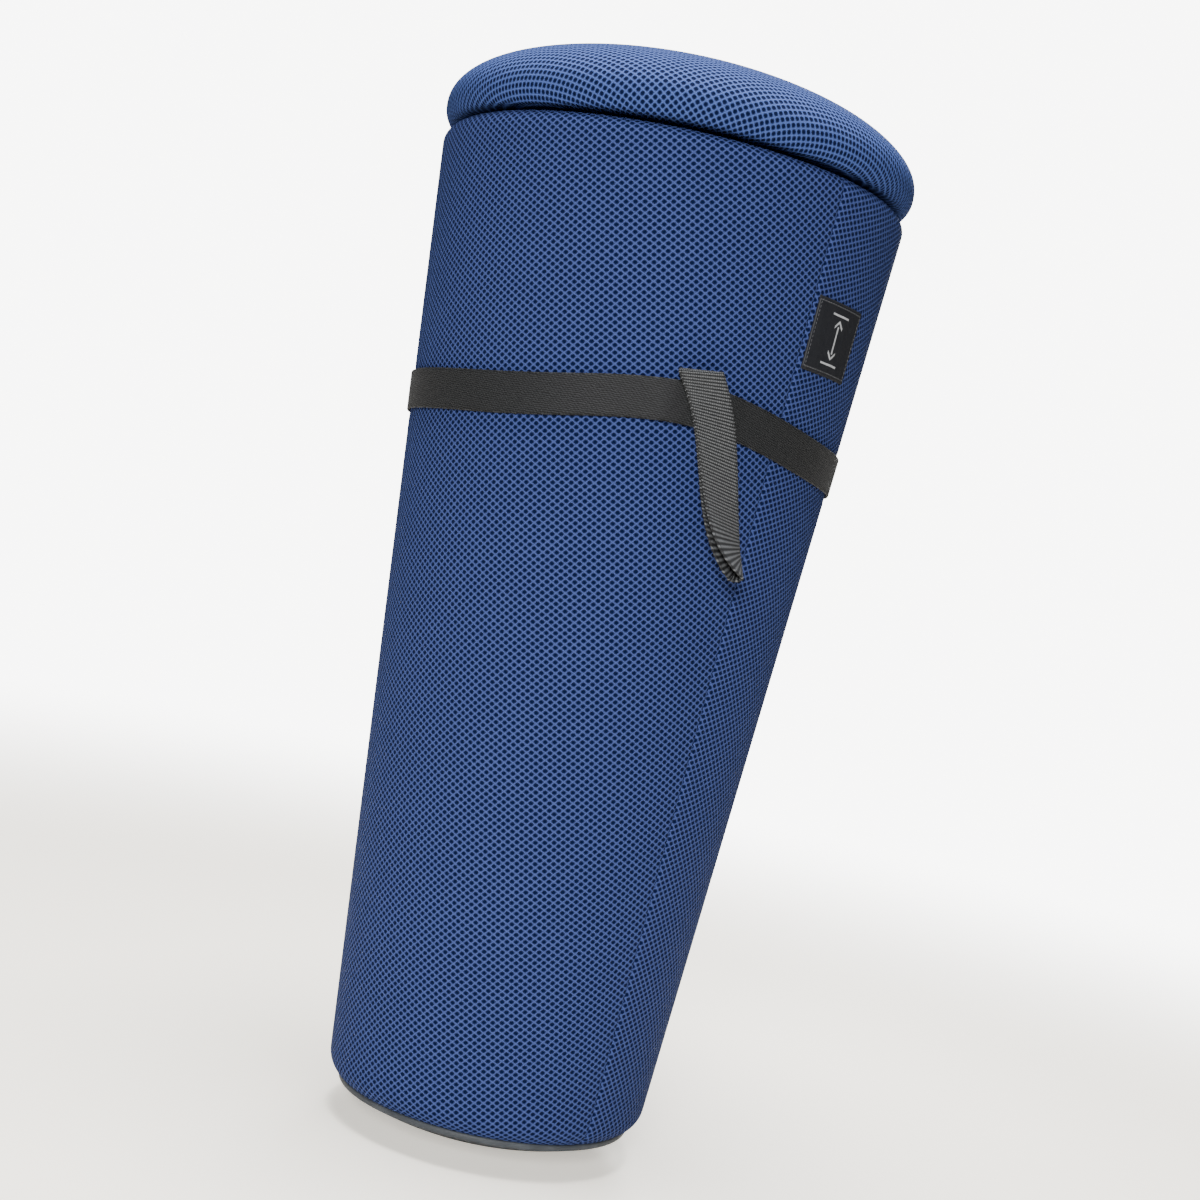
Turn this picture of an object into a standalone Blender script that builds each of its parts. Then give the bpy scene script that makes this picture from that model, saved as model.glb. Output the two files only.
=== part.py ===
"""Sit-stand leaning stool: a covered cone on a domed sole, with a seat on a gas spring.

Metres, +Z up. The origin is the middle of the sole's flat, on the floor. The front, where the
carry loop hangs from the belt, faces -Y. The seat lifts and swivels about the Z axis.
"""

import math

import bmesh
import bpy
from mathutils import Matrix, Vector

# Clearances
GAP = 0.0003              # between pieces that touch
SEAT_GAP = 0.003          # between the body's top edge and the cushion

# Sole and dish
SOLE_DOME_RADIUS = 0.2356
SOLE_FLAT_RADIUS = 0.030  # the flat that the stool stands on
SOLE_INSET = 0.0071       # the sole's rim stands this far inside the cone's lower edge
SOLE_LIP = 0.0039
SOLE_THICKNESS = 0.005
DISH_THICKNESS = 0.003

# Body cone, over its cover
BODY_BOTTOM_RADIUS = 0.1036
BODY_TOP_RADIUS = 0.153
BODY_HEIGHT = 0.6104
TOP_CORNER = 0.009
BOTTOM_CORNER = 0.016
HEM_ANGLE = math.radians(59.0)   # how far the cover turns in under the bottom corner
COVER_THICKNESS = 0.0032
SHELL_THICKNESS = 0.003
TOP_HEM_WIDTH = 0.013
SHELL_TOP_FLANGE = 0.024
SHELL_FOOT_RADIUS = 0.070        # inner edge of the shell's lower flange

# Column, its foot and what stands on it
COLUMN_RADIUS = 0.025
COLUMN_WALL = 0.002
FOOT_RADIUS = 0.080
FOOT_THICKNESS = 0.004
BALLAST_RADIUS = 0.088
BALLAST_HEIGHT = 0.018
WEB_THICKNESS = 0.006
BUSH_LENGTH = 0.080
BUSH_FLANGE = 0.003
WELL_DEPTH = 0.0444              # from the body's top edge down to the collar's floor
COLLAR_WALL = 0.003

# Gas spring
SEAT_TRAVEL = 0.200
CYLINDER_RADIUS = 0.014
CYLINDER_WALL = 0.002
CYLINDER_TAPER = 0.0008          # the top end's radius is this much less
TAPER_LENGTH = 0.037
CYLINDER_SPARE = 0.227           # cylinder length beyond the travel
ROD_RADIUS = 0.005
ROD_NECK_RADIUS = 0.004
PISTON_THICKNESS = 0.008
RACE_RADIUS = 0.013
RACE_THICKNESS = 0.002
CAGE_THICKNESS = 0.004
CLIP_THICKNESS = 0.0025
BUTTON_RADIUS = 0.003
BUTTON_STROKE = 0.003

# Seat
SEAT_OVERHANG = 0.002            # beyond the body's top radius
SEAT_SIDE_DROP = 0.0142          # from the widest point to the underside
SEAT_CROWN = 0.0504              # from the widest point to the top
SEAT_UNDERCUT = 0.027
SEAT_HEM_RADIUS = 0.118
BOARD_INSET = 0.019
BOARD_THICKNESS = 0.015
PLATE_LENGTH = 0.160
PLATE_WIDTH = 0.116
PLATE_THICKNESS = 0.003
PLATE_CORNER = 0.012
SOCKET_LENGTH = 0.039
SOCKET_WALL = 0.005

# Release lever, which leaves the seat at the back, towards +Y
LEVER_PIVOT_Y = 0.060
LEVER_THICKNESS = 0.003
LEVER_HALF_WIDTH = 0.008
PADDLE_HALF_WIDTH = 0.017
PADDLE_THICKNESS = 0.0045
PADDLE_START_Y = 0.112
PADDLE_DROP = 0.0065             # the paddle's underside lies this far under the strip's
HUB_RADIUS = 0.0042
PIVOT_PIN_RADIUS = 0.002
EAR_THICKNESS = 0.002
EAR_GAP = 0.0015                 # between the lever's side and an ear
CHANNEL_DEPTH = 0.012
CHANNEL_MARGIN = 0.004           # beside the bracket
CYLINDER_MARGIN = 0.0015         # round the cylinder's top
NOTCH_MARGIN = 0.003             # beside the paddle

# Screws
SCREW_RADIUS = 0.003
SCREW_HEAD_RADIUS = 0.005
SCREW_HEAD_HEIGHT = 0.0035
BASE_SCREW_CIRCLE = 0.074
SEAT_SCREW_X = 0.060
SEAT_SCREW_Y = 0.042

# Webbing, laid round the cone
WEBBING_WIDTH = 0.025
WEBBING_THICKNESS = 0.0016
BELT_DROP = 0.1704                # from the body's top edge down to the belt's middle line
BELT_LIFT = 0.016                # how far the loop pulls the belt up
BELT_LIFT_ANGLE = math.radians(15.0)
BELT_LIFT_SPREAD = math.radians(24.0)
BELT_GAP = 0.0004
ANCHOR_THICKNESS = 0.0014
LOOP_ANGLE = math.radians(15.9)  # where the loop starts, measured from the front towards +X
LOOP_RISE = 0.0023               # its middle line starts this far over the belt's top edge
LOOP_SLACK = 0.0014              # between the belt and the loop
LOOP_LENGTH = 0.1127
LOOP_SLANTS = (math.radians(32.0), math.radians(17.0), math.radians(25.0))  # top, middle, end
LOOP_FRONT_TWIST = math.radians(57.0)
LOOP_BACK_TWIST = math.radians(40.0)
LOOP_TWIST_RISE = (3.5, 3.9)     # how late each twist comes on, front and back
LOOP_TURN_DEPTH = 0.35           # the lower turn's depth, as a share of half its width
LOOP_FOLD_SKEW = 0.012           # the fold's left corner stands this much higher up the strap
LOOP_SKEW_REACH = 0.2
LOOP_STEPS = 15
LABEL_ANGLES = (math.radians(42.2), math.radians(61.5))
LABEL_DROP = 0.0714              # from the body's top edge down to the label's top
LABEL_LENGTH = 0.045
LABEL_THICKNESS = 0.0006

ROUND_STEPS = 44
SMALL_STEPS = 14
CORNER_STEPS = 3
BELT_STEPS = 88

# Heights that follow from the sizes above
DOME_CENTRE = math.sqrt(SOLE_DOME_RADIUS**2 - SOLE_FLAT_RADIUS**2)
SOLE_RADIUS = BODY_BOTTOM_RADIUS - SOLE_INSET
SOLE_HEIGHT = DOME_CENTRE - math.sqrt(SOLE_DOME_RADIUS**2 - SOLE_RADIUS**2) + SOLE_LIP
BODY_TOP = SOLE_HEIGHT + BODY_HEIGHT
CONE_SLOPE = (BODY_TOP_RADIUS - BODY_BOTTOM_RADIUS) / BODY_HEIGHT
CONE_ANGLE = math.atan(CONE_SLOPE)
SHELL_DEPTH = COVER_THICKNESS + GAP
BOTTOM_CORNER_Z = SOLE_HEIGHT + BOTTOM_CORNER * math.sin(HEM_ANGLE)
SHELL_FLOOR = BOTTOM_CORNER_Z - BOTTOM_CORNER + SHELL_DEPTH
FOOT_BOTTOM = SHELL_FLOOR + SHELL_THICKNESS + GAP
FOOT_TOP = FOOT_BOTTOM + FOOT_THICKNESS
BALLAST_BOTTOM = FOOT_TOP + GAP
BALLAST_TOP = BALLAST_BOTTOM + BALLAST_HEIGHT
COLUMN_TOP = BODY_TOP - WELL_DEPTH
BELT_HEIGHT = BODY_TOP - BELT_DROP
SEAT_RADIUS = BODY_TOP_RADIUS + SEAT_OVERHANG
SEAT_BOTTOM = BODY_TOP + SEAT_GAP
SEAT_WIDEST = SEAT_BOTTOM + SEAT_SIDE_DROP
BOARD_RADIUS = SEAT_RADIUS - BOARD_INSET
BOARD_BOTTOM = SEAT_BOTTOM + COVER_THICKNESS + GAP
BOARD_TOP = BOARD_BOTTOM + BOARD_THICKNESS
PLATE_TOP = BOARD_BOTTOM - GAP
PLATE_BOTTOM = PLATE_TOP - PLATE_THICKNESS
CYLINDER_TOP = BOARD_BOTTOM + GAP
CYLINDER_BOTTOM = CYLINDER_TOP - SEAT_TRAVEL - CYLINDER_SPARE
BUTTON_TOP = CYLINDER_TOP + BUTTON_STROKE + 0.001
LEVER_BOTTOM = BUTTON_TOP + GAP
PIVOT_Z = LEVER_BOTTOM + LEVER_THICKNESS / 2
SHOULDER_THICKNESS = 0.004
SHOULDER_BOTTOM = CYLINDER_BOTTOM - GAP - 0.003 - SHOULDER_THICKNESS
UPPER_RACE_BOTTOM = SHOULDER_BOTTOM - GAP - RACE_THICKNESS
CAGE_BOTTOM = UPPER_RACE_BOTTOM - GAP - CAGE_THICKNESS
LOWER_RACE_BOTTOM = CAGE_BOTTOM - GAP - RACE_THICKNESS
WEB_TOP = LOWER_RACE_BOTTOM - GAP
WEB_BOTTOM = WEB_TOP - WEB_THICKNESS
ROD_TOP = CYLINDER_BOTTOM + SEAT_TRAVEL + 0.030


def start_collections():
    """Empties the scene and makes one collection for the stool and one for its cutters."""
    for obj in list(bpy.data.objects):
        bpy.data.objects.remove(obj, do_unlink=True)
    made = []
    for name in ("leaning_stool", "cutters"):
        collection = bpy.data.collections.new(name)
        bpy.context.scene.collection.children.link(collection)
        made.append(collection)
    made[1].hide_render = True
    return made


STOOL, CUTTERS = start_collections()


def make_material(name, colour, roughness, metallic=0.0):
    """A Principled material of one colour."""
    material = bpy.data.materials.new(name)
    material.use_nodes = True
    shader = material.node_tree.nodes["Principled BSDF"]
    shader.inputs["Base Color"].default_value = (*colour, 1.0)
    shader.inputs["Roughness"].default_value = roughness
    shader.inputs["Metallic"].default_value = metallic
    return material


BLUE_KNIT = make_material("blue_knit", (0.045, 0.085, 0.21), 0.85)
BLACK_WEBBING = make_material("black_webbing", (0.02, 0.021, 0.024), 0.75)
LABEL_WEAVE = make_material("label_weave", (0.012, 0.012, 0.014), 0.7)
SOLE_RUBBER = make_material("sole_rubber", (0.028, 0.03, 0.034), 0.8)
BLACK_PLASTIC = make_material("black_plastic", (0.02, 0.02, 0.022), 0.45)
GREY_PLASTIC = make_material("grey_plastic", (0.12, 0.12, 0.125), 0.5)
BLACK_STEEL = make_material("black_steel", (0.018, 0.018, 0.02), 0.35)
BRIGHT_STEEL = make_material("bright_steel", (0.6, 0.6, 0.61), 0.25, 1.0)
CAST_IRON = make_material("cast_iron", (0.07, 0.07, 0.075), 0.7, 0.6)
PLYWOOD = make_material("plywood", (0.55, 0.38, 0.2), 0.6)
FOAM = make_material("foam", (0.62, 0.6, 0.52), 0.95)


def add_object(name, mesh, material=None, collection=STOOL):
    """Puts a mesh in a collection under its node's name."""
    obj = bpy.data.objects.new(name, mesh)
    collection.objects.link(obj)
    if material:
        mesh.materials.append(material)
    if collection is CUTTERS:
        obj.hide_render = True
        obj.display_type = "WIRE"
    return obj


def set_origin(obj, point):
    """Moves an object's origin to a point on its joint's axis, and leaves its shape in place."""
    obj.data.transform(Matrix.Translation(-Vector(point)))
    obj.location = point
    return obj


def turned(name, profile, material=None, closed=True, steps=ROUND_STEPS, collection=STOOL):
    """Turns a profile of (radius, height) points, which runs down its outer side, about +Z."""
    mesh = bpy.data.meshes.new(name)
    count = len(profile)
    edges = [(i, (i + 1) % count) for i in range(count if closed else count - 1)]
    mesh.from_pydata([(radius, 0.0, height) for radius, height in profile], edges, [])
    obj = add_object(name, mesh, material, collection)
    screw = obj.modifiers.new("Turn", "SCREW")
    screw.steps = steps
    screw.render_steps = steps
    screw.use_merge_vertices = True
    screw.merge_threshold = 1e-5
    screw.use_smooth_shade = False
    return obj


def ring(name, inner, outer, low, high, material=None, steps=ROUND_STEPS):
    """A plain ring about +Z."""
    profile = [(outer, high), (outer, low), (inner, low), (inner, high)]
    return turned(name, profile, material, steps=steps)


def arc(centre, radius, start, end, steps=CORNER_STEPS):
    """Points on an arc in the (radius, height) plane; angles are from the outward direction."""
    points = []
    for i in range(steps + 1):
        angle = start + (end - start) * i / steps
        points.append((centre[0] + radius * math.cos(angle), centre[1] + radius * math.sin(angle)))
    return points


def from_curve(name, outline, half_thickness, matrix, material=None, collection=STOOL):
    """A flat outline given a thickness, as a closed mesh, turned and placed by a matrix."""
    curve = bpy.data.curves.new(name, "CURVE")
    curve.dimensions = "2D"
    curve.fill_mode = "BOTH"
    curve.extrude = half_thickness
    spline = curve.splines.new("POLY")
    spline.points.add(len(outline) - 1)
    spline.use_cyclic_u = True
    for point, place in zip(spline.points, outline):
        point.co = (place[0], place[1], 0.0, 1.0)
    source = bpy.data.objects.new(name + "_outline", curve)
    bpy.context.scene.collection.objects.link(source)
    depsgraph = bpy.context.evaluated_depsgraph_get()
    mesh = bpy.data.meshes.new_from_object(source.evaluated_get(depsgraph))
    bpy.data.objects.remove(source, do_unlink=True)
    cage = bmesh.new()
    cage.from_mesh(mesh)
    bmesh.ops.remove_doubles(cage, verts=cage.verts, dist=1e-6)
    bmesh.ops.transform(cage, matrix=matrix, verts=cage.verts)
    bmesh.ops.recalc_face_normals(cage, faces=cage.faces)
    cage.to_mesh(mesh)
    cage.free()
    mesh.materials.clear()
    return add_object(name, mesh, material, collection)


def box_cutter(name, low, high):
    """A box between two corners."""
    mesh = bpy.data.meshes.new(name)
    cage = bmesh.new()
    bmesh.ops.create_cube(cage, size=1.0)
    size = [b - a for a, b in zip(low, high)]
    middle = [(a + b) / 2 for a, b in zip(low, high)]
    bmesh.ops.scale(cage, vec=size, verts=cage.verts)
    bmesh.ops.translate(cage, vec=middle, verts=cage.verts)
    cage.to_mesh(mesh)
    cage.free()
    return add_object(name, mesh, collection=CUTTERS)


def rod_mesh(name, radius, start, end, material=None, collection=CUTTERS, steps=SMALL_STEPS):
    """A round bar between two points."""
    start = Vector(start)
    along = Vector(end) - start
    mesh = bpy.data.meshes.new(name)
    cage = bmesh.new()
    turn = along.to_track_quat("Z", "Y").to_matrix().to_4x4()
    place = Matrix.Translation(start + along / 2) @ turn
    bmesh.ops.create_cone(
        cage, cap_ends=True, segments=steps, radius1=radius, radius2=radius,
        depth=along.length, matrix=place,
    )
    cage.to_mesh(mesh)
    cage.free()
    return add_object(name, mesh, material, collection)


def combine(obj, other, operation="DIFFERENCE"):
    """Cuts with another object, or joins it on."""
    boolean = obj.modifiers.new(operation.title(), "BOOLEAN")
    boolean.operation = operation
    boolean.solver = "EXACT"
    boolean.object = other
    return obj


def cone_radius(height):
    """The body's outer radius at a height above the floor."""
    return BODY_BOTTOM_RADIUS + CONE_SLOPE * (height - SOLE_HEIGHT)


def corner_centre(radius, height):
    """The centre of a corner arc of this radius that touches the cone's side."""
    return cone_radius(height) - radius / math.cos(CONE_ANGLE), height


def skin(depth, top_reach, bottom_reach=None):
    """The body's outline at a depth under its surface, from its top hem down to its lower edge."""
    top = corner_centre(TOP_CORNER, BODY_TOP - TOP_CORNER)
    bottom = corner_centre(BOTTOM_CORNER, BOTTOM_CORNER_Z)
    points = [(top_reach, BODY_TOP - depth)]
    points += arc(top, TOP_CORNER - depth, math.pi / 2, -CONE_ANGLE)
    end = -HEM_ANGLE if bottom_reach is None else -math.pi / 2
    points += arc(bottom, BOTTOM_CORNER - depth, -CONE_ANGLE, end)
    if bottom_reach is not None:
        points.append((bottom_reach, BOTTOM_CORNER_Z - BOTTOM_CORNER + depth))
    return points


def dome(radius, depth=0.0):
    """The height of the sole's dome at a radius, at a depth inside it."""
    if radius < SOLE_FLAT_RADIUS:
        return depth
    return DOME_CENTRE - math.sqrt((SOLE_DOME_RADIUS - depth) ** 2 - radius**2) + offset_flat(depth)


def offset_flat(depth):
    """Keeps the inner dome level with the flat's own offset at the flat's edge."""
    inner = DOME_CENTRE - math.sqrt((SOLE_DOME_RADIUS - depth) ** 2 - SOLE_FLAT_RADIUS**2)
    return depth - inner


def dome_points(first, last, depth=0.0, steps=5):
    """Points along the dome from one radius to another."""
    radii = [first + (last - first) * i / steps for i in range(steps + 1)]
    return [(radius, dome(radius, depth)) for radius in radii]


def make_sole():
    """The domed rubber sole, a shallow cup with a flat in its middle."""
    lip_top = SOLE_HEIGHT - GAP
    lip_inner = SOLE_RADIUS - SOLE_THICKNESS
    profile = [(lip_inner, lip_top), (SOLE_RADIUS, lip_top)]
    profile += dome_points(SOLE_RADIUS, SOLE_FLAT_RADIUS)
    profile += [(0.0, 0.0)]
    inner = [(0.0, SOLE_THICKNESS)] + dome_points(SOLE_FLAT_RADIUS, lip_inner, SOLE_THICKNESS)
    turned("sole", inner + profile, SOLE_RUBBER, closed=False)


def make_base_dish():
    """The moulded dish inside the sole, solid round its edge where the base screws bite."""
    rim = SOLE_RADIUS - SOLE_THICKNESS - GAP
    under = SOLE_THICKNESS + GAP
    inside = under + DISH_THICKNESS
    solid_from = BASE_SCREW_CIRCLE - 0.008
    top = SHELL_FLOOR - GAP
    profile = [(0.0, inside)] + dome_points(SOLE_FLAT_RADIUS, solid_from, inside, 2)
    profile += [(solid_from, top), (rim, top)]
    profile += dome_points(rim, SOLE_FLAT_RADIUS, under)
    profile += [(0.0, under)]
    dish = turned("base_dish", profile, BLACK_PLASTIC, closed=False)
    for name, x, y in base_screw_places():
        low = dome(BASE_SCREW_CIRCLE, under) + 0.002
        combine(dish, rod_mesh(name + "_dish", SCREW_RADIUS + GAP, (x, y, low), (x, y, top + 0.01)))


def base_screw_places():
    """Names and places of the four base screws."""
    places = []
    for i in range(4):
        angle = math.radians(45 + 90 * i)
        places.append((
            f"base_screw_{i + 1}",
            BASE_SCREW_CIRCLE * math.cos(angle),
            BASE_SCREW_CIRCLE * math.sin(angle),
        ))
    return places


def cut_base_screw_holes(obj, low, high):
    """Holes for the base screws through a piece between two heights."""
    for name, x, y in base_screw_places():
        hole = rod_mesh(f"{name}_{obj.name}", SCREW_RADIUS + GAP, (x, y, low), (x, y, high))
        combine(obj, hole)


def make_screw(name, x, y, head_side, shank_end, upward):
    """A pan-head screw along Z: the head's seat, the shank's end, and which way the shank points."""
    way = 1 if upward else -1
    head = [
        (0.0, head_side - way * SCREW_HEAD_HEIGHT),
        (SCREW_HEAD_RADIUS * 0.7, head_side - way * SCREW_HEAD_HEIGHT),
        (SCREW_HEAD_RADIUS, head_side - way * SCREW_HEAD_HEIGHT * 0.5),
        (SCREW_HEAD_RADIUS, head_side),
        (SCREW_RADIUS, head_side),
        (SCREW_RADIUS, shank_end),
        (0.0, shank_end),
    ]
    profile = head[::-1] if upward else head
    screw = turned(name, profile, BRIGHT_STEEL, closed=False, steps=SMALL_STEPS)
    screw.location = (x, y, 0.0)


def make_base_screws():
    """Four long screws down through the ballast, the foot and the shell into the dish."""
    end = dome(BASE_SCREW_CIRCLE, SOLE_THICKNESS + GAP) + 0.002 + GAP
    for name, x, y in base_screw_places():
        make_screw(name, x, y, BALLAST_TOP + GAP, end, upward=False)


def make_body():
    """The stiff conical shell and the knitted cover drawn over it."""
    hem = corner_centre(TOP_CORNER, BODY_TOP - TOP_CORNER)[0] - TOP_HEM_WIDTH
    outer = skin(0.0, hem)
    inner = skin(COVER_THICKNESS, hem)
    turned("body_cover", outer + inner[::-1], BLUE_KNIT)
    flange = hem + TOP_HEM_WIDTH - SHELL_TOP_FLANGE
    outer = skin(SHELL_DEPTH, flange, SHELL_FOOT_RADIUS)
    inner = skin(SHELL_DEPTH + SHELL_THICKNESS, flange, SHELL_FOOT_RADIUS)
    shell = turned("outer_shell", outer + inner[::-1], GREY_PLASTIC)
    cut_base_screw_holes(shell, SHELL_FLOOR - 0.01, SHELL_FLOOR + SHELL_THICKNESS + 0.01)


def make_top_collar():
    """The moulded well that closes the body's top and steadies the column."""
    hem = corner_centre(TOP_CORNER, BODY_TOP - TOP_CORNER)[0] - TOP_HEM_WIDTH
    lip_radius = hem - GAP
    wall_radius = hem + TOP_HEM_WIDTH - SHELL_TOP_FLANGE - GAP
    lip_top = BODY_TOP - 0.0004
    lip_bottom = BODY_TOP - SHELL_DEPTH + GAP
    hole = COLUMN_RADIUS + GAP
    profile = [
        (lip_radius, lip_top),
        (lip_radius, lip_bottom),
        (wall_radius, lip_bottom),
        (wall_radius, COLUMN_TOP - COLLAR_WALL),
        (hole, COLUMN_TOP - COLLAR_WALL),
        (hole, COLUMN_TOP),
        (wall_radius - COLLAR_WALL, COLUMN_TOP),
        (wall_radius - COLLAR_WALL, lip_top),
    ]
    turned("top_collar", profile, BLACK_PLASTIC)


def make_column():
    """The welded column with its foot and the inner floor that the gas spring's rod stands on."""
    bore = COLUMN_RADIUS - COLUMN_WALL
    neck = ROD_NECK_RADIUS + GAP
    profile = [
        (COLUMN_RADIUS, COLUMN_TOP),
        (COLUMN_RADIUS, FOOT_TOP),
        (FOOT_RADIUS, FOOT_TOP),
        (FOOT_RADIUS, FOOT_BOTTOM),
        (bore, FOOT_BOTTOM),
        (bore, WEB_BOTTOM),
        (neck, WEB_BOTTOM),
        (neck, WEB_TOP),
        (bore, WEB_TOP),
        (bore, COLUMN_TOP),
    ]
    column = turned("column_tube", profile, BLACK_STEEL)
    cut_base_screw_holes(column, FOOT_BOTTOM - 0.01, FOOT_TOP + 0.01)
    ballast = ring(
        "ballast_ring", COLUMN_RADIUS + 0.001, BALLAST_RADIUS, BALLAST_BOTTOM, BALLAST_TOP, CAST_IRON
    )
    cut_base_screw_holes(ballast, BALLAST_BOTTOM - 0.01, BALLAST_TOP + 0.01)


def make_guide_bush():
    """The flanged bush in the column's mouth that the cylinder slides in."""
    sleeve = COLUMN_RADIUS - COLUMN_WALL - GAP
    bore = CYLINDER_RADIUS + GAP
    flange_bottom = COLUMN_TOP + GAP
    profile = [
        (COLUMN_RADIUS, flange_bottom + BUSH_FLANGE),
        (COLUMN_RADIUS, flange_bottom),
        (sleeve, flange_bottom),
        (sleeve, COLUMN_TOP - BUSH_LENGTH),
        (bore, COLUMN_TOP - BUSH_LENGTH),
        (bore, flange_bottom + BUSH_FLANGE),
    ]
    turned("guide_bush", profile, GREY_PLASTIC)


def make_bearing():
    """The thrust bearing between the column's floor and the rod's shoulder."""
    bore = ROD_NECK_RADIUS + GAP
    ring("lower_race", bore, RACE_RADIUS, LOWER_RACE_BOTTOM, LOWER_RACE_BOTTOM + RACE_THICKNESS,
         BRIGHT_STEEL, SMALL_STEPS)
    ring("upper_race", bore, RACE_RADIUS, UPPER_RACE_BOTTOM, UPPER_RACE_BOTTOM + RACE_THICKNESS,
         BRIGHT_STEEL, SMALL_STEPS)
    middle = ((RACE_RADIUS + bore) / 2, CAGE_BOTTOM + CAGE_THICKNESS / 2)
    profile = arc(middle, CAGE_THICKNESS / 2, math.pi / 2, -3 * math.pi / 2, 8)[:-1]
    turned("ball_cage", profile, GREY_PLASTIC, steps=SMALL_STEPS)


def make_rod():
    """The piston rod, its piston and the clip that holds it to the column's floor."""
    groove = ROD_NECK_RADIUS - 0.0007
    groove_bottom = WEB_BOTTOM - GAP - CLIP_THICKNESS - GAP
    tip_radius = ROD_RADIUS - 0.002
    profile = [
        (0.0, ROD_TOP + PISTON_THICKNESS),
        (tip_radius, ROD_TOP + PISTON_THICKNESS),
        (tip_radius, ROD_TOP),
        (ROD_RADIUS, ROD_TOP),
        (ROD_RADIUS, SHOULDER_BOTTOM + SHOULDER_THICKNESS),
        (RACE_RADIUS - 0.004, SHOULDER_BOTTOM + SHOULDER_THICKNESS),
        (RACE_RADIUS - 0.004, SHOULDER_BOTTOM),
        (ROD_NECK_RADIUS, SHOULDER_BOTTOM),
        (ROD_NECK_RADIUS, WEB_BOTTOM),
        (groove, WEB_BOTTOM),
        (groove, groove_bottom),
        (ROD_NECK_RADIUS, groove_bottom),
        (ROD_NECK_RADIUS, groove_bottom - 0.005),
        (0.0, groove_bottom - 0.005),
    ]
    turned("piston_rod", profile, BRIGHT_STEEL, closed=False, steps=SMALL_STEPS)
    ring("rod_clip", groove + GAP, RACE_RADIUS - 0.004, groove_bottom + GAP,
         groove_bottom + GAP + CLIP_THICKNESS, BRIGHT_STEEL, SMALL_STEPS)
    ring("piston_head", tip_radius + GAP, CYLINDER_RADIUS - CYLINDER_WALL - GAP, ROD_TOP + GAP,
         ROD_TOP + PISTON_THICKNESS, GREY_PLASTIC, SMALL_STEPS)


def cylinder_taper(height):
    """The cylinder's outer radius at a height: straight, then a slight taper at the top."""
    into_taper = max(0.0, height - (CYLINDER_TOP - TAPER_LENGTH))
    return CYLINDER_RADIUS - CYLINDER_TAPER * into_taper / TAPER_LENGTH


def make_cylinder():
    """The gas cylinder, open round its rod below and round its valve button above."""
    bore = CYLINDER_RADIUS - CYLINDER_WALL
    seal = 0.006
    head = 0.014
    profile = [
        (cylinder_taper(CYLINDER_TOP), CYLINDER_TOP),
        (CYLINDER_RADIUS, CYLINDER_TOP - TAPER_LENGTH),
        (CYLINDER_RADIUS, CYLINDER_BOTTOM),
        (ROD_RADIUS + GAP, CYLINDER_BOTTOM),
        (ROD_RADIUS + GAP, CYLINDER_BOTTOM + seal),
        (bore, CYLINDER_BOTTOM + seal),
        (bore, CYLINDER_TOP - head),
        (BUTTON_RADIUS + GAP, CYLINDER_TOP - head),
        (BUTTON_RADIUS + GAP, CYLINDER_TOP),
    ]
    turned("gas_cylinder", profile, BLACK_STEEL)
    stem_bottom = CYLINDER_TOP - head - 0.003
    profile = [
        (0.0, BUTTON_TOP), (BUTTON_RADIUS, BUTTON_TOP), (BUTTON_RADIUS, stem_bottom), (0.0, stem_bottom)
    ]
    turned("valve_button", profile, BRIGHT_STEEL, closed=False, steps=SMALL_STEPS)


def rounded_rectangle(width, height, corner):
    """The outline of a rectangle with round corners, about the origin."""
    points = []
    for i, (sx, sy) in enumerate(((1, 1), (-1, 1), (-1, -1), (1, -1))):
        centre = (sx * (width / 2 - corner), sy * (height / 2 - corner))
        points += arc(centre, corner, i * math.pi / 2, (i + 1) * math.pi / 2)
    return points


def seat_screw_places():
    """Names and places of the four seat screws."""
    signs = ((1, 1), (-1, 1), (-1, -1), (1, -1))
    return [
        (f"seat_screw_{i + 1}", sx * SEAT_SCREW_X, sy * SEAT_SCREW_Y)
        for i, (sx, sy) in enumerate(signs)
    ]


def make_seat_mount():
    """The mount plate, the taper socket under it and the four screws up into the board."""
    outline = rounded_rectangle(PLATE_LENGTH, PLATE_WIDTH, PLATE_CORNER)
    middle = Matrix.Translation((0.0, 0.0, (PLATE_TOP + PLATE_BOTTOM) / 2))
    plate = from_curve("mount_plate", outline, PLATE_THICKNESS / 2, middle, BLACK_STEEL)
    bore = cylinder_taper(PLATE_BOTTOM) + GAP
    low, high = PLATE_BOTTOM - 0.01, PLATE_TOP + 0.01
    combine(plate, rod_mesh("cylinder_hole", bore, (0, 0, low), (0, 0, high), steps=ROUND_STEPS))
    for name, x, y in seat_screw_places():
        combine(plate, rod_mesh(name + "_plate", SCREW_RADIUS + GAP, (x, y, low), (x, y, high)))
        make_screw(name, x, y, PLATE_BOTTOM - GAP, BOARD_BOTTOM + 0.010, upward=True)
    top = PLATE_BOTTOM - GAP
    bottom = top - SOCKET_LENGTH
    step = CYLINDER_TOP - TAPER_LENGTH
    outer = CYLINDER_RADIUS + SOCKET_WALL
    profile = [(outer, top), (outer, bottom), (CYLINDER_RADIUS + GAP, bottom)]
    if bottom < step:
        profile.append((CYLINDER_RADIUS + GAP, step))
    profile.append((cylinder_taper(top) + GAP, top))
    turned("taper_socket", profile, BLACK_STEEL)


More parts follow.
